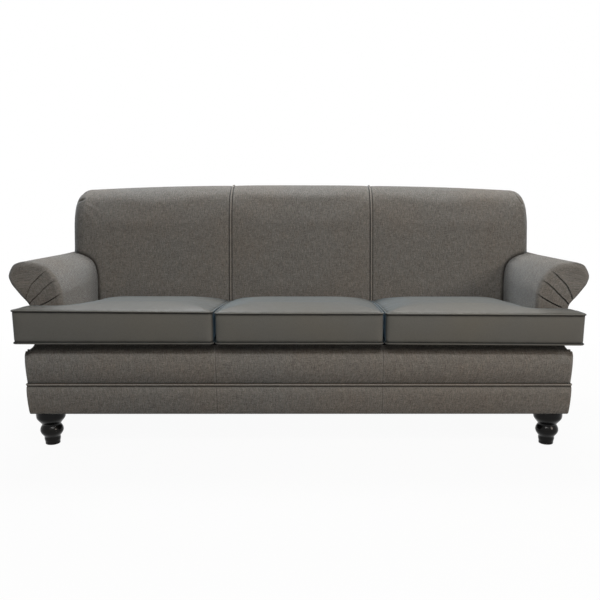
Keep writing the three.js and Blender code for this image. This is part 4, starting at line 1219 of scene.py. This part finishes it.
def outside_back_panel(name):
    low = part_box("outside_back")[0]

    def wrap(s, t):
        across, drop_x = curled(2 * base_half, OUTSIDE_EDGE, len(s))
        rise, drop_z = curled(outside_top - low.z, OUTSIDE_EDGE, len(t))
        drop = np.maximum(drop_x[None, :], drop_z[:, None])
        z = np.broadcast_to(low.z + rise[:, None], drop.shape)
        x = np.broadcast_to(across[None, :] - base_half, drop.shape)
        bulge = OUTSIDE_BULGE * np.sin(np.pi * (x + base_half) / (2 * base_half)) * np.sin(
            np.pi * (z - low.z) / (outside_top - low.z))
        return np.stack([x, FRONT + rear_at(z) - drop - OUTSIDE_THICKNESS + bulge, z], axis=2)

    piece = cloth(name, 150, 60, wrap)
    outward(piece, (0, 0, 0.4))
    with_modifier(piece, "SUBSURF", levels=1, render_levels=1)
    return backed(piece, OUTSIDE_THICKNESS)


hand_over(outside_back_panel("outside_back_panel"), tweed, "tweed_cover", "outside_back",
          fill=0.7)

# %% [markdown]
# ## Base
# A padded border runs under the cushions, a plain band under that, and a welt between
# them goes round the corners. Border and band are joined from three widths of cloth, and
# their seams stand under the seams of the back.

# %% The way round the base
def plan_path(front, half, rear, radius, spacing):
    """From the rear of one side along it, round the corner, along the front, and back."""
    arc = np.linspace(0, math.pi / 2, 7)
    corner = np.column_stack([half - radius * (1 - np.cos(arc)),
                              front + radius * (1 - np.sin(arc))])
    side_count = max(2, int((rear - front - radius) / spacing))
    sides = np.column_stack([np.full(side_count, half),
                             np.linspace(rear, front + radius, side_count + 1)[:-1]])
    right = np.vstack([sides, corner])
    half_front = np.linspace(half - radius, 0, int((half - radius) / spacing))[1:]
    right = np.vstack([right, np.column_stack([half_front, np.full(len(half_front), front)])])
    left = right[-2::-1] * (-1, 1)
    return np.vstack([right, left])


def path_normals(path):
    step = np.gradient(path, axis=0)
    out = np.stack([step[:, 1], -step[:, 0]], axis=1)
    out /= np.linalg.norm(out, axis=1, keepdims=True)
    return out if out[0, 0] > 0 else -out


def seam_grooves(x, depth=0.0011, width=0.0022):
    return depth * np.exp(-((np.abs(x) - seam_half) / width) ** 2)


def denser_at_seams(path):
    """Adds points to the front by the two upright seams, so that their grooves show."""
    xs = path[:, 0]
    extra = []
    for centre in (-seam_half, seam_half):
        for offset in (-0.006, -0.0045, -0.003, -0.0015, 0, 0.0015, 0.003, 0.0045, 0.006):
            extra.append((centre + offset, path[:, 1].min()))
    front = path[np.abs(xs) < base_half - 0.03]
    keep = front[np.abs(np.abs(front[:, 0]) - seam_half) > 0.007]
    merged = np.vstack([keep, extra])
    merged = merged[np.argsort(-merged[:, 0])]
    first = path[xs >= base_half - 0.03]
    last = path[xs <= -base_half + 0.03]
    return np.vstack([first, merged, last])


UPRIGHT_SHADE, UPRIGHT_WIDTH = 0.25, 0.0028


def mark_base_seam_shade(piece, level, reach):
    """Paints shade on the upright seams, and along the level where a band or border meets the
    welt.
    """
    co = points_of(piece)
    # painted shade: faint in the upright seams, darker beside the welt
    upright = UPRIGHT_SHADE * np.exp(-((np.abs(co[:, 0]) - seam_half) / UPRIGHT_WIDTH) ** 2)
    mark_painted_shade(piece, np.maximum(upright, np.exp(-((co[:, 2] - level) / reach) ** 2)))


# %% [markdown]
# The border is drawn as a profile that swells out above the welt and turns back under the
# cushions. Shares of the swell and of the height give it, so it fits any border. At the
# ends its top edge falls away under the wings, and small pulls run along the upper part.

# %% Border
band_setback = 0.044
border_curve = [
    (0, 0), (0.4, 0.09), (0.68, 0.2), (0.86, 0.31), (0.96, 0.41), (1, 0.5), (0.995, 0.56),
    (0.96, 0.61), (0.87, 0.66), (0.72, 0.71), (0.52, 0.76), (0.29, 0.81), (0.04, 0.86),
    (-0.25, 0.91), (-0.65, 0.96), (-0.92, 1.0),
]
border_side = ((0, 0.15, 0.55, 0.78, 0.93, 1), (0.5, 0.62, 0.74, 1, 0.9, 0.6))
BORDER_SWELL, SIDE_SWELL = 0.0195, 0.0052
CORNER_FALL, CORNER_OUTER, CORNER_INNER = 0.0235, 0.001, 0.034
PULL, PULL_FROM, PULL_RUN = 0.0013, 0.31, 0.045
BORDER_THICKNESS = 0.008


def base_border(name):
    path = denser_at_seams(plan_path(band_setback, base_half, deck_front - fit, 0.010, 0.012))
    out = path_normals(path)
    line = through([(swell * BORDER_SWELL, border_bottom + rise * (deck_top - border_bottom))
                    for swell, rise in border_curve], 34)
    facing = np.clip(-out[:, 1], 0, 1)
    middle = (border_bottom + deck_top) / 2
    fall = np.interp(np.abs(path[:, 0]),
                     (base_half - CORNER_INNER, base_half - CORNER_OUTER), (0, 1))

    def wrap(s, t):
        swell = line[:, :1] * facing[None, :]
        upper = np.clip((line[:, 1:] - PULL_FROM) / PULL_RUN, 0, 1)
        pull = PULL * np.sin(path[None, :, 0] * 97 + 1.3) * np.sin(path[None, :, 0] * 23)
        pull = pull * upper * facing[None, :]
        rise = (line[:, 1:] - border_bottom) / (deck_top - border_bottom)
        beside = SIDE_SWELL * np.interp(rise, *border_side)
        x = path[None, :, 0] + out[None, :, 0] * (beside + np.minimum(swell, 0))
        forward = swell + pull - seam_grooves(path[None, :, 0])
        depth = path[None, :, 1] + out[None, :, 1] * forward
        upper = np.clip((line[:, 1:] - middle) / (deck_top - middle), 0, 1)
        z = line[:, 1:] - fall[None, :] * upper * CORNER_FALL
        return np.stack([x, depth + FRONT, z], axis=2)

    piece = cloth(name, len(path) - 1, len(line) - 1, wrap)
    outward(piece, (0, FRONT + 0.4, 0.2))
    weights = rim_weights(piece)
    co = points_of(piece)
    weights[np.abs(co[:, 0]) > base_half - 0.02] = 1
    weights[np.abs(np.abs(co[:, 0]) - seam_half) < 0.004] = 1
    weights[co[:, 2] > deck_top - 0.004] = 1
    puff(piece, pressure=1.5, cap=0.003, weights=weights)
    with_modifier(piece, "SUBSURF", levels=1, render_levels=1)
    mark_base_seam_shade(piece, border_bottom, 0.004)
    return backed(piece, BORDER_THICKNESS)


hand_over(base_border("border_cover"), tweed, "tweed_cover", "front_border", fill=0.7)

# %% [markdown]
# The band hangs from the welt to the lower edge of the frame. Its front bellies a little
# where the cloth is padded, and its sides taper in downwards.

# %% Band
band_top = 0.2272
BAND_BELLY, BAND_SPREAD, BAND_TAPER = 0.0125, 0.006, 0.0045
BAND_EDGE, BAND_THICKNESS = 0.003, 0.004
band_belly = ((0, 0.1, 0.2, 0.35, 0.5, 0.6, 0.68, 0.76, 0.84, 0.91, 0.96, 1),
              (0, 0.3, 0.52, 0.76, 0.91, 0.97, 1, 0.98, 0.87, 0.66, 0.42, 0.1))


def base_band(name):
    rear = rear_at(0.2) - cover - fit
    half = base_half + BAND_SPREAD
    path = denser_at_seams(plan_path(band_setback, half, rear, 0.008, 0.014))
    out = path_normals(path)

    def wrap(s, t):
        rise, drop = curled(band_top - leg_height, BAND_EDGE, len(t))
        z = leg_height + rise
        share = rise / (band_top - leg_height)
        belly = BAND_BELLY * np.interp(share, *band_belly)
        side = BAND_TAPER * (1 - share)[:, None] * np.abs(out[None, :, 0])
        inward = (drop - belly)[:, None] + side + seam_grooves(path[None, :, 0])
        x = path[None, :, 0] - out[None, :, 0] * (inward + belly[:, None])
        depth = path[None, :, 1] - out[None, :, 1] * inward
        return np.stack([x, depth + FRONT, np.broadcast_to(z[:, None], x.shape)], axis=2)

    piece = cloth(name, len(path) - 1, 26, wrap)
    outward(piece, (0, FRONT + 0.4, 0.2))
    with_modifier(piece, "SUBSURF", levels=1, render_levels=1)
    mark_base_seam_shade(piece, band_top, 0.0035)
    return backed(piece, BAND_THICKNESS)


hand_over(base_band("base_band"), tweed, "tweed_cover", "front_band", "side_band_left",
          "side_band_right", fill=0.4)

# %% [markdown]
# The welt of the base covers the join of border and band, and goes round both corners to
# the rear. Its lower side is painted dark, a painted shadow line under the welt.

# %% Base welt
BASE_WELT_RADIUS, BASE_WELT_SPREAD = 0.0037, 0.004
welt_low, welt_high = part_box("base_welt")
welt_z = (welt_low.z + welt_high.z) / 2
welt_plan = plan_path(band_setback - 0.001, base_half + BASE_WELT_SPREAD,
                      rear_at(welt_z) - cover - fit, 0.0085, 0.012)
piece = welt("base_welt_cord", np.column_stack([welt_plan[:, 0], welt_plan[:, 1] + FRONT,
                                                np.full(len(welt_plan), welt_z)]),
             BASE_WELT_RADIUS, (0, 0, 1))
# painted shadow on the lower side of the cord
below = (welt_z - points_of(piece)[:, 2]) / BASE_WELT_RADIUS
mark_painted_shade(piece, 0.8 * np.clip(below + 0.2, 0, 1))
hand_over(piece, tweed_welt, "tweed_cover", "base_welt")

# %% [markdown]
# ## Seat deck, dust cover and webbing
# Under the cushions is the deck, a dark cloth over a thin pad. It sags a little in the
# middle, and its edges are rolled down to the rails.

# %% Seat deck
DECK_SAG, DECK_THICKNESS, DECK_SINK = 0.0035, 0.012, 0.7
CLOTH_LIFT = 0.0006


def deck_panel(name):
    low, high = deck_low, deck_high
    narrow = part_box("arm_tack_rail_right")[0].x - fit

    def wrap(s, t):
        across, drop_x = curled(2.0, 0.04, len(s))
        depth, drop_y = curled(high.y - low.y, 0.012, len(t))
        depth = low.y + depth
        half = np.where(depth < FRONT + stump_front - 0.001, high.x, narrow)
        x = (across[None, :] - 1) * half[:, None]
        drop = np.maximum(drop_x[None, :], drop_y[:, None])
        z = high.z - DECK_SINK * drop - CLOTH_LIFT
        sag = DECK_SAG * np.cos(np.clip(x / narrow, -1, 1) * np.pi / 2)
        return np.stack([x, np.broadcast_to(depth[:, None], x.shape), z - sag], axis=2)

    piece = cloth(name, 120, 50, wrap)
    outward(piece, (0, 0, -1))
    return backed(piece, DECK_THICKNESS)


hand_over(deck_panel("deck_pad"), deck_cloth, "deck_cloth", "seat_deck", fill=0.5)


# %% [markdown]
# A black dust cover is stapled under the frame. It is one flat sheet, with its corners cut
# off where the legs are bolted on.

# %% Dust cover
def dust_sheet(name):
    low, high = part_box("dust_cover")
    corner = 0.15

    def wrap(s, t):
        x = np.broadcast_to((low.x + s * (high.x - low.x))[None, :], (len(t), len(s))).copy()
        y = np.broadcast_to((low.y + t * (high.y - low.y))[:, None], x.shape).copy()
        for row in range(len(t)):
            into = min(y[row, 0] - low.y, high.y - y[row, 0])
            x[row] *= (high.x - max(0, corner - into)) / high.x
        return np.stack([x, y, np.full_like(x, low.z + CLOTH_LIFT)], axis=2)

    piece = cloth(name, 120, 50, wrap)
    outward(piece, (0, 0, 1))
    return piece, (high.x - low.x, high.y - low.y), corner


piece, flat, corner = dust_sheet("dust_sheet")
hand_over(piece, dust_cloth, "dust_cloth", "dust_cover")

# %% [markdown]
# Four jute straps across the ribs hold the filling of the back. They aren't seen.

# %% Jute webbing
STRAP_THICKNESS = 0.0014
for number in range(1, 5):
    node = "back_webbing_%d" % number
    low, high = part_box(node)

    def strap(s, t):
        x = low.x + s * (high.x - low.x)
        z = low.z + t * (high.z - low.z)
        y = low.y + t * (high.y - low.y)
        shape = (len(t), len(s))
        return np.stack([np.broadcast_to(x[None, :], shape),
                         np.broadcast_to(y[:, None] - 0.0012, shape),
                         np.broadcast_to(z[:, None], shape)], axis=2)

    piece = cloth("jute_strap_%d" % number, 120, 6, strap)
    outward(piece, (0, 1, 0.6))
    backed(piece, STRAP_THICKNESS)
    hand_over(piece, jute, "jute_webbing", node)

# %% [markdown]
# ## Seat cushions
# The cushions are foam in a boxed cover: a top, a bottom and a side strip, with a welt
# in both seams. The outer two are T-cushions, whose wings reach round in front of the
# arms. Each starts as a block with its wing extruded and its corners bevelled, is
# remeshed into even cells and swells under pressure while its seams are held.

# %% Sizes and seams of the cushions
EDGE_TOP, EDGE_FOOT = 0.489, 0.386
EDGE_FALL, FALL_CURVE = 0.034, 1.4
CROWN, CROWN_RUN, CROWN_CURVE, SHAPED = 0.025, 0.095, 2.3, 0.75
WELT_RADIUS = 0.0035
CORNER_RADIUS = 0.012
LIFT_ACROSS, LIFT_BACK = 0.66, 0.3
seam_lift = {"left": (0.0035, 0.0086, 0.0), "centre": (0.0, 0.0, 0.0),
             "right": (-0.001, -0.004, -0.004)}


def seam_levels(word, x, y):
    """Heights of the lower and the upper seam. The upper one falls towards the back, and
    each cushion lies a little differently, as cushions that are used do. seam_lift holds
    the lift of the upper seam at its inner and outer end, and that of the lower one."""
    inner, outer, foot = seam_lift[word]
    along = np.clip((np.abs(x) - seam_half) / LIFT_ACROSS, 0, 1)
    front = np.clip(1 - (y - FRONT) / LIFT_BACK, 0, 1)
    share = np.clip((y - FRONT - WELT_RADIUS) / (seat_depth - 0.010), 0, 1)
    top = EDGE_TOP - EDGE_FALL * share ** FALL_CURVE
    return (EDGE_FOOT + foot * along * front,
            top + (inner + (outer - inner) * along) * front)


# %% [markdown]
# The block is a cube at the size of the cushion. For a T-cushion it is cut in plan at the
# rear of the wing, the outer face in front of the cut is extruded, and then every upright
# edge is bevelled but the two that only mark the cut.

# %% Block of a cushion


def choose(piece, kind, test):
    """Selects the faces or edges whose middle passes a test, in edit mode."""
    only(piece)
    bpy.ops.object.mode_set(mode="EDIT")
    bpy.ops.mesh.select_mode(type=kind)
    bpy.ops.mesh.select_all(action="DESELECT")
    bpy.ops.object.mode_set(mode="OBJECT")
    mesh = piece.data
    found = mesh.polygons if kind == "FACE" else mesh.edges
    for item in found:
        places = [mesh.vertices[i].co for i in item.vertices]
        item.select = bool(test(sum(places, Vector()) / len(places), places))
    bpy.ops.object.mode_set(mode="EDIT")


def cushion_block(name, x0, x1, y0, y1, wing=None):
    """The plain block of a cushion; wing is (reach in x, its rear edge in y)."""
    only()
    bpy.ops.mesh.primitive_cube_add(size=1, location=((x0 + x1) / 2, (y0 + y1) / 2,
                                                      (EDGE_TOP + EDGE_FOOT) / 2))
    piece = bpy.context.object
    piece.name = piece.data.name = name
    piece.scale = (x1 - x0, y1 - y0, EDGE_TOP - EDGE_FOOT)
    bpy.ops.object.transform_apply(location=True, rotation=True, scale=True)
    if wing:
        reach, wing_rear = wing
        side = 1 if reach > 0 else -1
        edit(piece, (bpy.ops.mesh.bisect, {"plane_co": (0, wing_rear, 0), "plane_no": (0, 1, 0)}))
        outer = x1 if side > 0 else x0
        choose(piece, "FACE", lambda mid, p: abs(mid.x - outer) < 1e-4 and mid.y < wing_rear)
        bpy.ops.mesh.extrude_region_move(TRANSFORM_OT_translate={"value": (reach, 0, 0)})
        bpy.ops.object.mode_set(mode="OBJECT")

    def upright(mid, p):
        straight = (p[0] - p[1]).to_2d().length < 1e-5
        flat_run = wing and abs(mid.y - wing_rear) < 1e-4 and abs(
            mid.x - (x0 if side > 0 else x1)) < 1e-4
        return straight and not flat_run

    choose(piece, "EDGE", upright)
    bpy.ops.mesh.bevel(offset=CORNER_RADIUS, segments=6, affect="EDGES")
    bpy.ops.object.mode_set(mode="OBJECT")
    return piece


# %% [markdown]
# The same plan with rounded corners gives the line of both seams. The distance of a point
# from that line says how far the cover may rise, where it puckers and where it is dark.

# %% Plan of a cushion
def rounded_loop(corners, radius, spacing):
    """A closed outline with its corners rounded, as evenly spaced points."""
    corners = np.asarray(corners, float)
    out = []
    for i, corner in enumerate(corners):
        before = corners[i - 1] - corner
        after = corners[(i + 1) % len(corners)] - corner
        before /= np.linalg.norm(before)
        after /= np.linalg.norm(after)
        centre = corner + radius * (before + after)
        start, end = corner + radius * before - centre, corner + radius * after - centre
        for share in np.linspace(0, 1, 7):
            p = (1 - share) * start + share * end
            out.append(centre + p / np.linalg.norm(p) * radius)
    out = np.array(out + [out[0]])
    run = np.concatenate([[0], np.cumsum(np.linalg.norm(np.diff(out, axis=0), axis=1))])
    count = int(run[-1] / spacing)
    at = np.linspace(0, run[-1], count, endpoint=False)
    return np.stack([np.interp(at, run, out[:, k]) for k in range(2)], axis=1)


def nearest_on(loop, co, batch=64):
    """Distance in plan of each point from a loop, and the number of its nearest point."""
    away = np.full(len(co), 1e9)
    nearest = np.zeros(len(co), int)
    for start in range(0, len(loop), batch):
        gap = np.linalg.norm(co[:, None, :2] - loop[None, start:start + batch], axis=2)
        closer = gap.min(1) < away
        nearest[closer] = gap.argmin(1)[closer] + start
        away = np.minimum(away, gap.min(1))
    return away, nearest


def cushion_plan(word, low, high):
    """The block of a cushion inside its welts, and the corners of its plan."""
    inset, clearance = WELT_RADIUS, 0.003
    x0, x1, y0, y1 = low.x + inset, high.x - inset, low.y + inset, high.y - inset
    wing_rear = FRONT + arm_setback - clearance - inset
    outer_to = seat_half - clearance - inset
    if word == "left":
        block = (-outer_to, x1, y0, y1, (x0 + outer_to, wing_rear))
        corners = [(x0, y0), (x1, y0), (x1, y1), (-outer_to, y1), (-outer_to, wing_rear),
                   (x0, wing_rear)]
    elif word == "right":
        block = (x0, outer_to, y0, y1, (x1 - outer_to, wing_rear))
        corners = [(x0, y0), (x1, y0), (x1, wing_rear), (outer_to, wing_rear),
                   (outer_to, y1), (x0, y1)]
    else:
        block = (x0, x1, y0, y1)
        corners = [(x0, y0), (x1, y0), (x1, y1), (x0, y1)]
    return block, corners


# %% [markdown]
# Most of the crown is drawn, and pressure gives the rest, so that it also sets when the
# cushion is looked at without the solver. The seams are held. The cover puckers beside
# them, gets painted shade in them, and painted shade a little darker on the sides where two
# cushions meet, for the shadow in the gap between them.

# %% Body of a cushion
CELL = 0.0065
LOOP_SPACING = 0.004
HELD_HEIGHT, HELD_WIDTH = 0.004, 0.008
TOP_FROM, TOP_STEEPNESS = 0.95, 20
PUCKER, PUCKER_REACH = 0.0013, 0.02
GAP, BULGE_FORWARD = 0.0004, 0.006
SEAM_REACH_OF_CUSHION = 0.0075
BETWEEN_SHADE_FROM, BETWEEN_SHADE_RUN, BETWEEN_SHADE_LEVEL = 0.0035, 0.005, 0.45


def cushion_body(word, node, loop, block):
    low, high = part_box(node)
    piece = cushion_block("cushion_" + word, *block)
    piece.data.remesh_voxel_size = CELL
    piece.data.use_remesh_preserve_volume = False
    only(piece)
    bpy.ops.object.voxel_remesh()
    co = points_of(piece)
    away, nearest = nearest_on(loop, co)
    seam = np.minimum(np.abs(co[:, 2] - EDGE_TOP), np.abs(co[:, 2] - EDGE_FOOT))
    weights = np.where((seam < HELD_HEIGHT) & (away < HELD_WIDTH), 1.0, 0.0)
    low_seam, high_seam = seam_levels(word, co[:, 0], co[:, 1])
    up = (co[:, 2] - EDGE_FOOT) / (EDGE_TOP - EDGE_FOOT)
    crown = SHAPED * CROWN * (1 - (1 - np.minimum(1, away / CROWN_RUN)) ** CROWN_CURVE)
    on_top = np.clip(up * TOP_STEEPNESS - TOP_FROM * TOP_STEEPNESS, 0, 1)
    co[:, 2] = low_seam + up * (high_seam - low_seam) + crown * on_top
    set_points(piece, co)
    puff(piece, pressure=7.0, cap=(1 - SHAPED) * CROWN, weights=weights, stiffness=8.0,
         bending=0.2)
    with_modifier(piece, "SMOOTH", factor=0.5, iterations=3)
    co = points_of(piece)
    pucker = np.sin(nearest * 0.31 + 1.0) * np.sin(nearest * 0.117)
    pucker = pucker * np.exp(-away / PUCKER_REACH)
    gap = np.minimum(np.abs(co[:, 2] - low_seam), np.abs(co[:, 2] - high_seam))
    co -= normals_of(piece) * (PUCKER * pucker * np.exp(-gap / PUCKER_REACH))[:, None]
    co[:, 2] = np.where(up < 0.5, np.maximum(co[:, 2], deck_top + fit), co[:, 2])
    limit_low = np.array([low.x + GAP, low.y - BULGE_FORWARD, 0])
    limit_high = np.array([high.x - GAP, high.y - GAP, 9])
    set_points(piece, np.clip(co, limit_low, limit_high))
    return with_modifier(piece, "SUBSURF", levels=1, render_levels=1)


def mark_cushion(piece, word, loop):
    co = points_of(piece)
    low_seam, high_seam = seam_levels(word, co[:, 0], co[:, 1])
    rim = nearest_on(loop, co)[0]
    gap = np.minimum(np.abs(co[:, 2] - low_seam), np.abs(co[:, 2] - high_seam))
    # painted shade: dark along both seams, and on the sides that face the next cushion
    between_shade = 1 - (np.abs(np.abs(co[:, 0]) - seam_half) - BETWEEN_SHADE_FROM) / BETWEEN_SHADE_RUN
    mark_painted_shade(piece, np.maximum(np.exp(-(np.hypot(gap, rim) / SEAM_REACH_OF_CUSHION) ** 2),
                                 BETWEEN_SHADE_LEVEL * np.clip(between_shade, 0, 1)))


# %% [markdown]
# A welt runs round each cushion in both seams. Its side towards the boxing is painted
# dark, a thin line of painted shade beside it.

# %% Welts of a cushion, and the three cushions
WELT_SET, WELT_FULLNESS = 0.0008, 0.93


def cushion_welts(word, node, body, loop):
    for place, side in (("foot", 0), ("top", 1)):
        ring = loop[::2]
        inwards = (WELT_SET, -WELT_SET)[side]
        z = seam_levels(word, ring[:, 0], ring[:, 1])[side] + inwards
        cord = welt("cushion_%s_%s_welt" % (word, place), np.column_stack([ring, z]),
                    WELT_RADIUS * WELT_FULLNESS, (0, 0, 1), closed=True, around=10)
        co = points_of(cord)
        level = seam_levels(word, co[:, 0], co[:, 1])[side] + inwards
        inside = (level - co[:, 2]) * (-1, 1)[side] / WELT_RADIUS
        # painted shade on the side of the cord that faces the boxing
        mark_painted_shade(cord, 0.9 * np.clip(inside + (0, 0.45)[side], 0, 1) ** 0.7)
        hand_over(cord, cushion_cover, "cushion_cover", node, body=body)


for word in ("left", "centre", "right"):
    node = body = "seat_cushion_" + word
    block, corners = cushion_plan(word, *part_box(node))
    loop = rounded_loop(corners, CORNER_RADIUS, LOOP_SPACING)
    piece = cushion_body(word, node, loop, block)
    mark_cushion(piece, word, loop)
    hand_over(piece, cushion_cover, "cushion_cover", node, fill=0.8, body=body)
    print(piece.name, len(piece.data.polygons), "faces", tuple(points_of(piece).max(0)))
    cushion_welts(word, node, body, loop)

# %% [markdown]
# ## Turned legs
# The legs are turned on a lathe: a cup at the top, a neck, a round bulb, and a waist with
# a small ring above the foot. A circle's points are laid along half the outline, as shares
# of radius and height. The edge on the axis is deleted, and the rest is spun round it.

# %% Turned legs
leg_shares = [
    (0.49, 0.0), (0.507, 0.006), (0.51, 0.04), (0.515, 0.08), (0.545, 0.125), (0.553, 0.15),
    (0.557, 0.170), (0.548, 0.178), (0.546, 0.186), (0.556, 0.193), (0.553, 0.205),
    (0.545, 0.213), (0.565, 0.238), (0.62, 0.268), (0.70, 0.312), (0.752, 0.348),
    (0.786, 0.39), (0.798, 0.412), (0.796, 0.420), (0.785, 0.427), (0.786, 0.434),
    (0.792, 0.442), (0.783, 0.465), (0.748, 0.506), (0.70, 0.542), (0.655, 0.575),
    (0.65, 0.59), (0.66, 0.607), (0.69, 0.632), (0.75, 0.663), (0.81, 0.693), (0.87, 0.722),
    (0.92, 0.75), (0.975, 0.79), (0.997, 0.83), (1.0, 0.87), (1.0, 0.93), (1.0, 1.0),
]


def turned_leg(name, node):
    low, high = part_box(node)
    middle = (low + high) / 2
    radius, height = (high.x - low.x) / 2, high.z - low.z
    side = np.array(leg_shares)
    curve = np.vstack([(0, 0), side[:1], through(side[1:], 130), (0, 1)])
    only()
    bpy.ops.mesh.primitive_circle_add(vertices=len(curve), radius=radius, fill_type="NOTHING",
                                      location=(0, 0, 0))
    piece = bpy.context.object
    piece.name = piece.data.name = name
    co = np.column_stack([middle.x + curve[:, 0] * radius, np.full(len(curve), middle.y),
                          low.z + curve[:, 1] * height])
    set_points(piece, co)
    choose(piece, "EDGE", lambda mid, p: all(abs(place.x - middle.x) < 1e-6 for place in p))
    bpy.ops.mesh.delete(type="EDGE")
    bpy.ops.mesh.select_all(action="SELECT")
    bpy.ops.mesh.spin(steps=56, angle=2 * math.pi, center=(middle.x, middle.y, 0),
                      axis=(0, 0, 1), dupli=False)
    bpy.ops.mesh.select_all(action="SELECT")
    bpy.ops.mesh.remove_doubles(threshold=1e-5)
    bpy.ops.mesh.normals_make_consistent(inside=False)
    bpy.ops.object.mode_set(mode="OBJECT")
    return piece


for row in ("front", "rear"):
    for word in ("left", "right"):
        node = "leg_%s_%s" % (row, word)
        piece = turned_leg("turned_" + node, node)
        hand_over(piece, lacquer, "leg_lacquer", node)
        print(piece.name, len(piece.data.polygons), "faces")

# %% [markdown]
# ## Boards, springs and glides
# These pieces of the frame have the right shape already, so they keep it and only get
# their finish.

# %% Boards, springs and glides
for name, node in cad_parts.items():
    if node.hide_render:
        continue
    if name.startswith("glide"):
        finish = glide_nylon
    elif name.startswith("seat_springs"):
        finish = spring_steel
    else:
        finish = board_wood
    node.data.materials.clear()
    node.data.materials.append(finish)

# %% [markdown]
# ## Floor and light
# The floor and the world are white to the camera and in reflections. Near the sofa a small
# share of the floor stays real paint, which keeps the shadow under the sofa, and this share
# runs out before the floor ends.

# %% Floor
bpy.ops.mesh.primitive_plane_add(size=60, location=(0, 0, -0.0005))
floor = bpy.context.object
floor.name = "floor"
floor_paint, net, shader = new_material("floor_paint", (0.9, 0.9, 0.9, 1))
set_shader(net, shader, Base_Color=(0.5, 0.5, 0.5, 1), Roughness=0.95,
           Specular_IOR_Level=0.0)
PAINT_NEAR, PAINT_GONE, WHITE_NEAR = 1.1, 2.4, 0.95


def seen_rays(net):
    rays = net.add("LightPath").node.outputs
    seen = net.math("MAXIMUM", rays["Is Camera Ray"], rays["Is Glossy Ray"])
    return net.math("MAXIMUM", seen, rays["Is Transmission Ray"])


distance = net.add("VectorMath", out=1, sockets={0: net.add("TexCoord", out=3)},
                   operation="LENGTH")
clear = net.spread(distance, PAINT_NEAR, PAINT_GONE, WHITE_NEAR, 1.0)
glow = net.add("Emission", sockets={"Color": (1, 1, 1, 1), "Strength": 1.0})
both = net.add("MixShader", sockets={0: net.math("MULTIPLY", seen_rays(net), clear),
                                     1: shader.outputs[0], 2: glow})
output = next(n for n in net.tree.nodes if n.type == "OUTPUT_MATERIAL")
net.tree.links.new(both, output.inputs[0])
floor.data.materials.append(floor_paint)

# %% [markdown]
# The world is white to the camera, to reflections and through glass, as the floor is. To
# everything else it is a faint cool light that only lifts the deepest shadows.

# %% World
world = bpy.data.worlds.new("studio")
bpy.context.scene.world = world
world.use_nodes = True
world.node_tree.nodes.clear()
net = Net(world.node_tree)
around = net.add("Background", sockets={"Color": (0.93, 0.96, 1.0, 1), "Strength": 0.02})
white = net.add("Background", sockets={"Color": (1, 1, 1, 1), "Strength": 1.0})
both = net.add("MixShader", sockets={0: seen_rays(net), 1: around, 2: white})
result = world.node_tree.nodes.new("ShaderNodeOutputWorld")
world.node_tree.links.new(both, result.inputs[0])

# %% [markdown]
# Four soft lamps: a cool one and a warmer one high behind the sofa, which brighten the tops
# of the arms and of the back; a broad one high in front, whose light stops at the shadow of the
# seat cushions; and a warm one from the right, which reaches the inner side of the left arm.

# %% Lamps
def soft_light(name, place, aim, size, power, tint):
    bpy.ops.object.light_add(type="AREA", location=place)
    lamp = bpy.context.object
    lamp.name = name
    lamp.data.shape = "RECTANGLE"
    lamp.data.size, lamp.data.size_y = size
    lamp.data.energy = power
    lamp.data.color = tint
    lamp.rotation_euler = (Vector(aim) - Vector(place)).to_track_quat("-Z", "Y").to_euler()


soft_light("overhead_left", (-1.0, 1.2, 2.9), (0, 0, 0.4), (1.4, 1.0), 82, (0.93, 0.96, 1.0))
soft_light("overhead_right", (1.1, 1.2, 2.9), (0, 0, 0.4), (1.4, 1.0), 56, (1.0, 0.97, 0.93))
soft_light("front", (0.2, -2.9, 3.2), (0, 0, 0.35), (2.4, 0.5), 92, (1.0, 0.98, 0.96))
soft_light("right", (2.8, -2.5, 1.9), (0, 0, 0.5), (0.8, 0.8), 44, (1.0, 0.86, 0.74))

# %% Size of the box
print("box before", tuple(cad_low), tuple(cad_high))
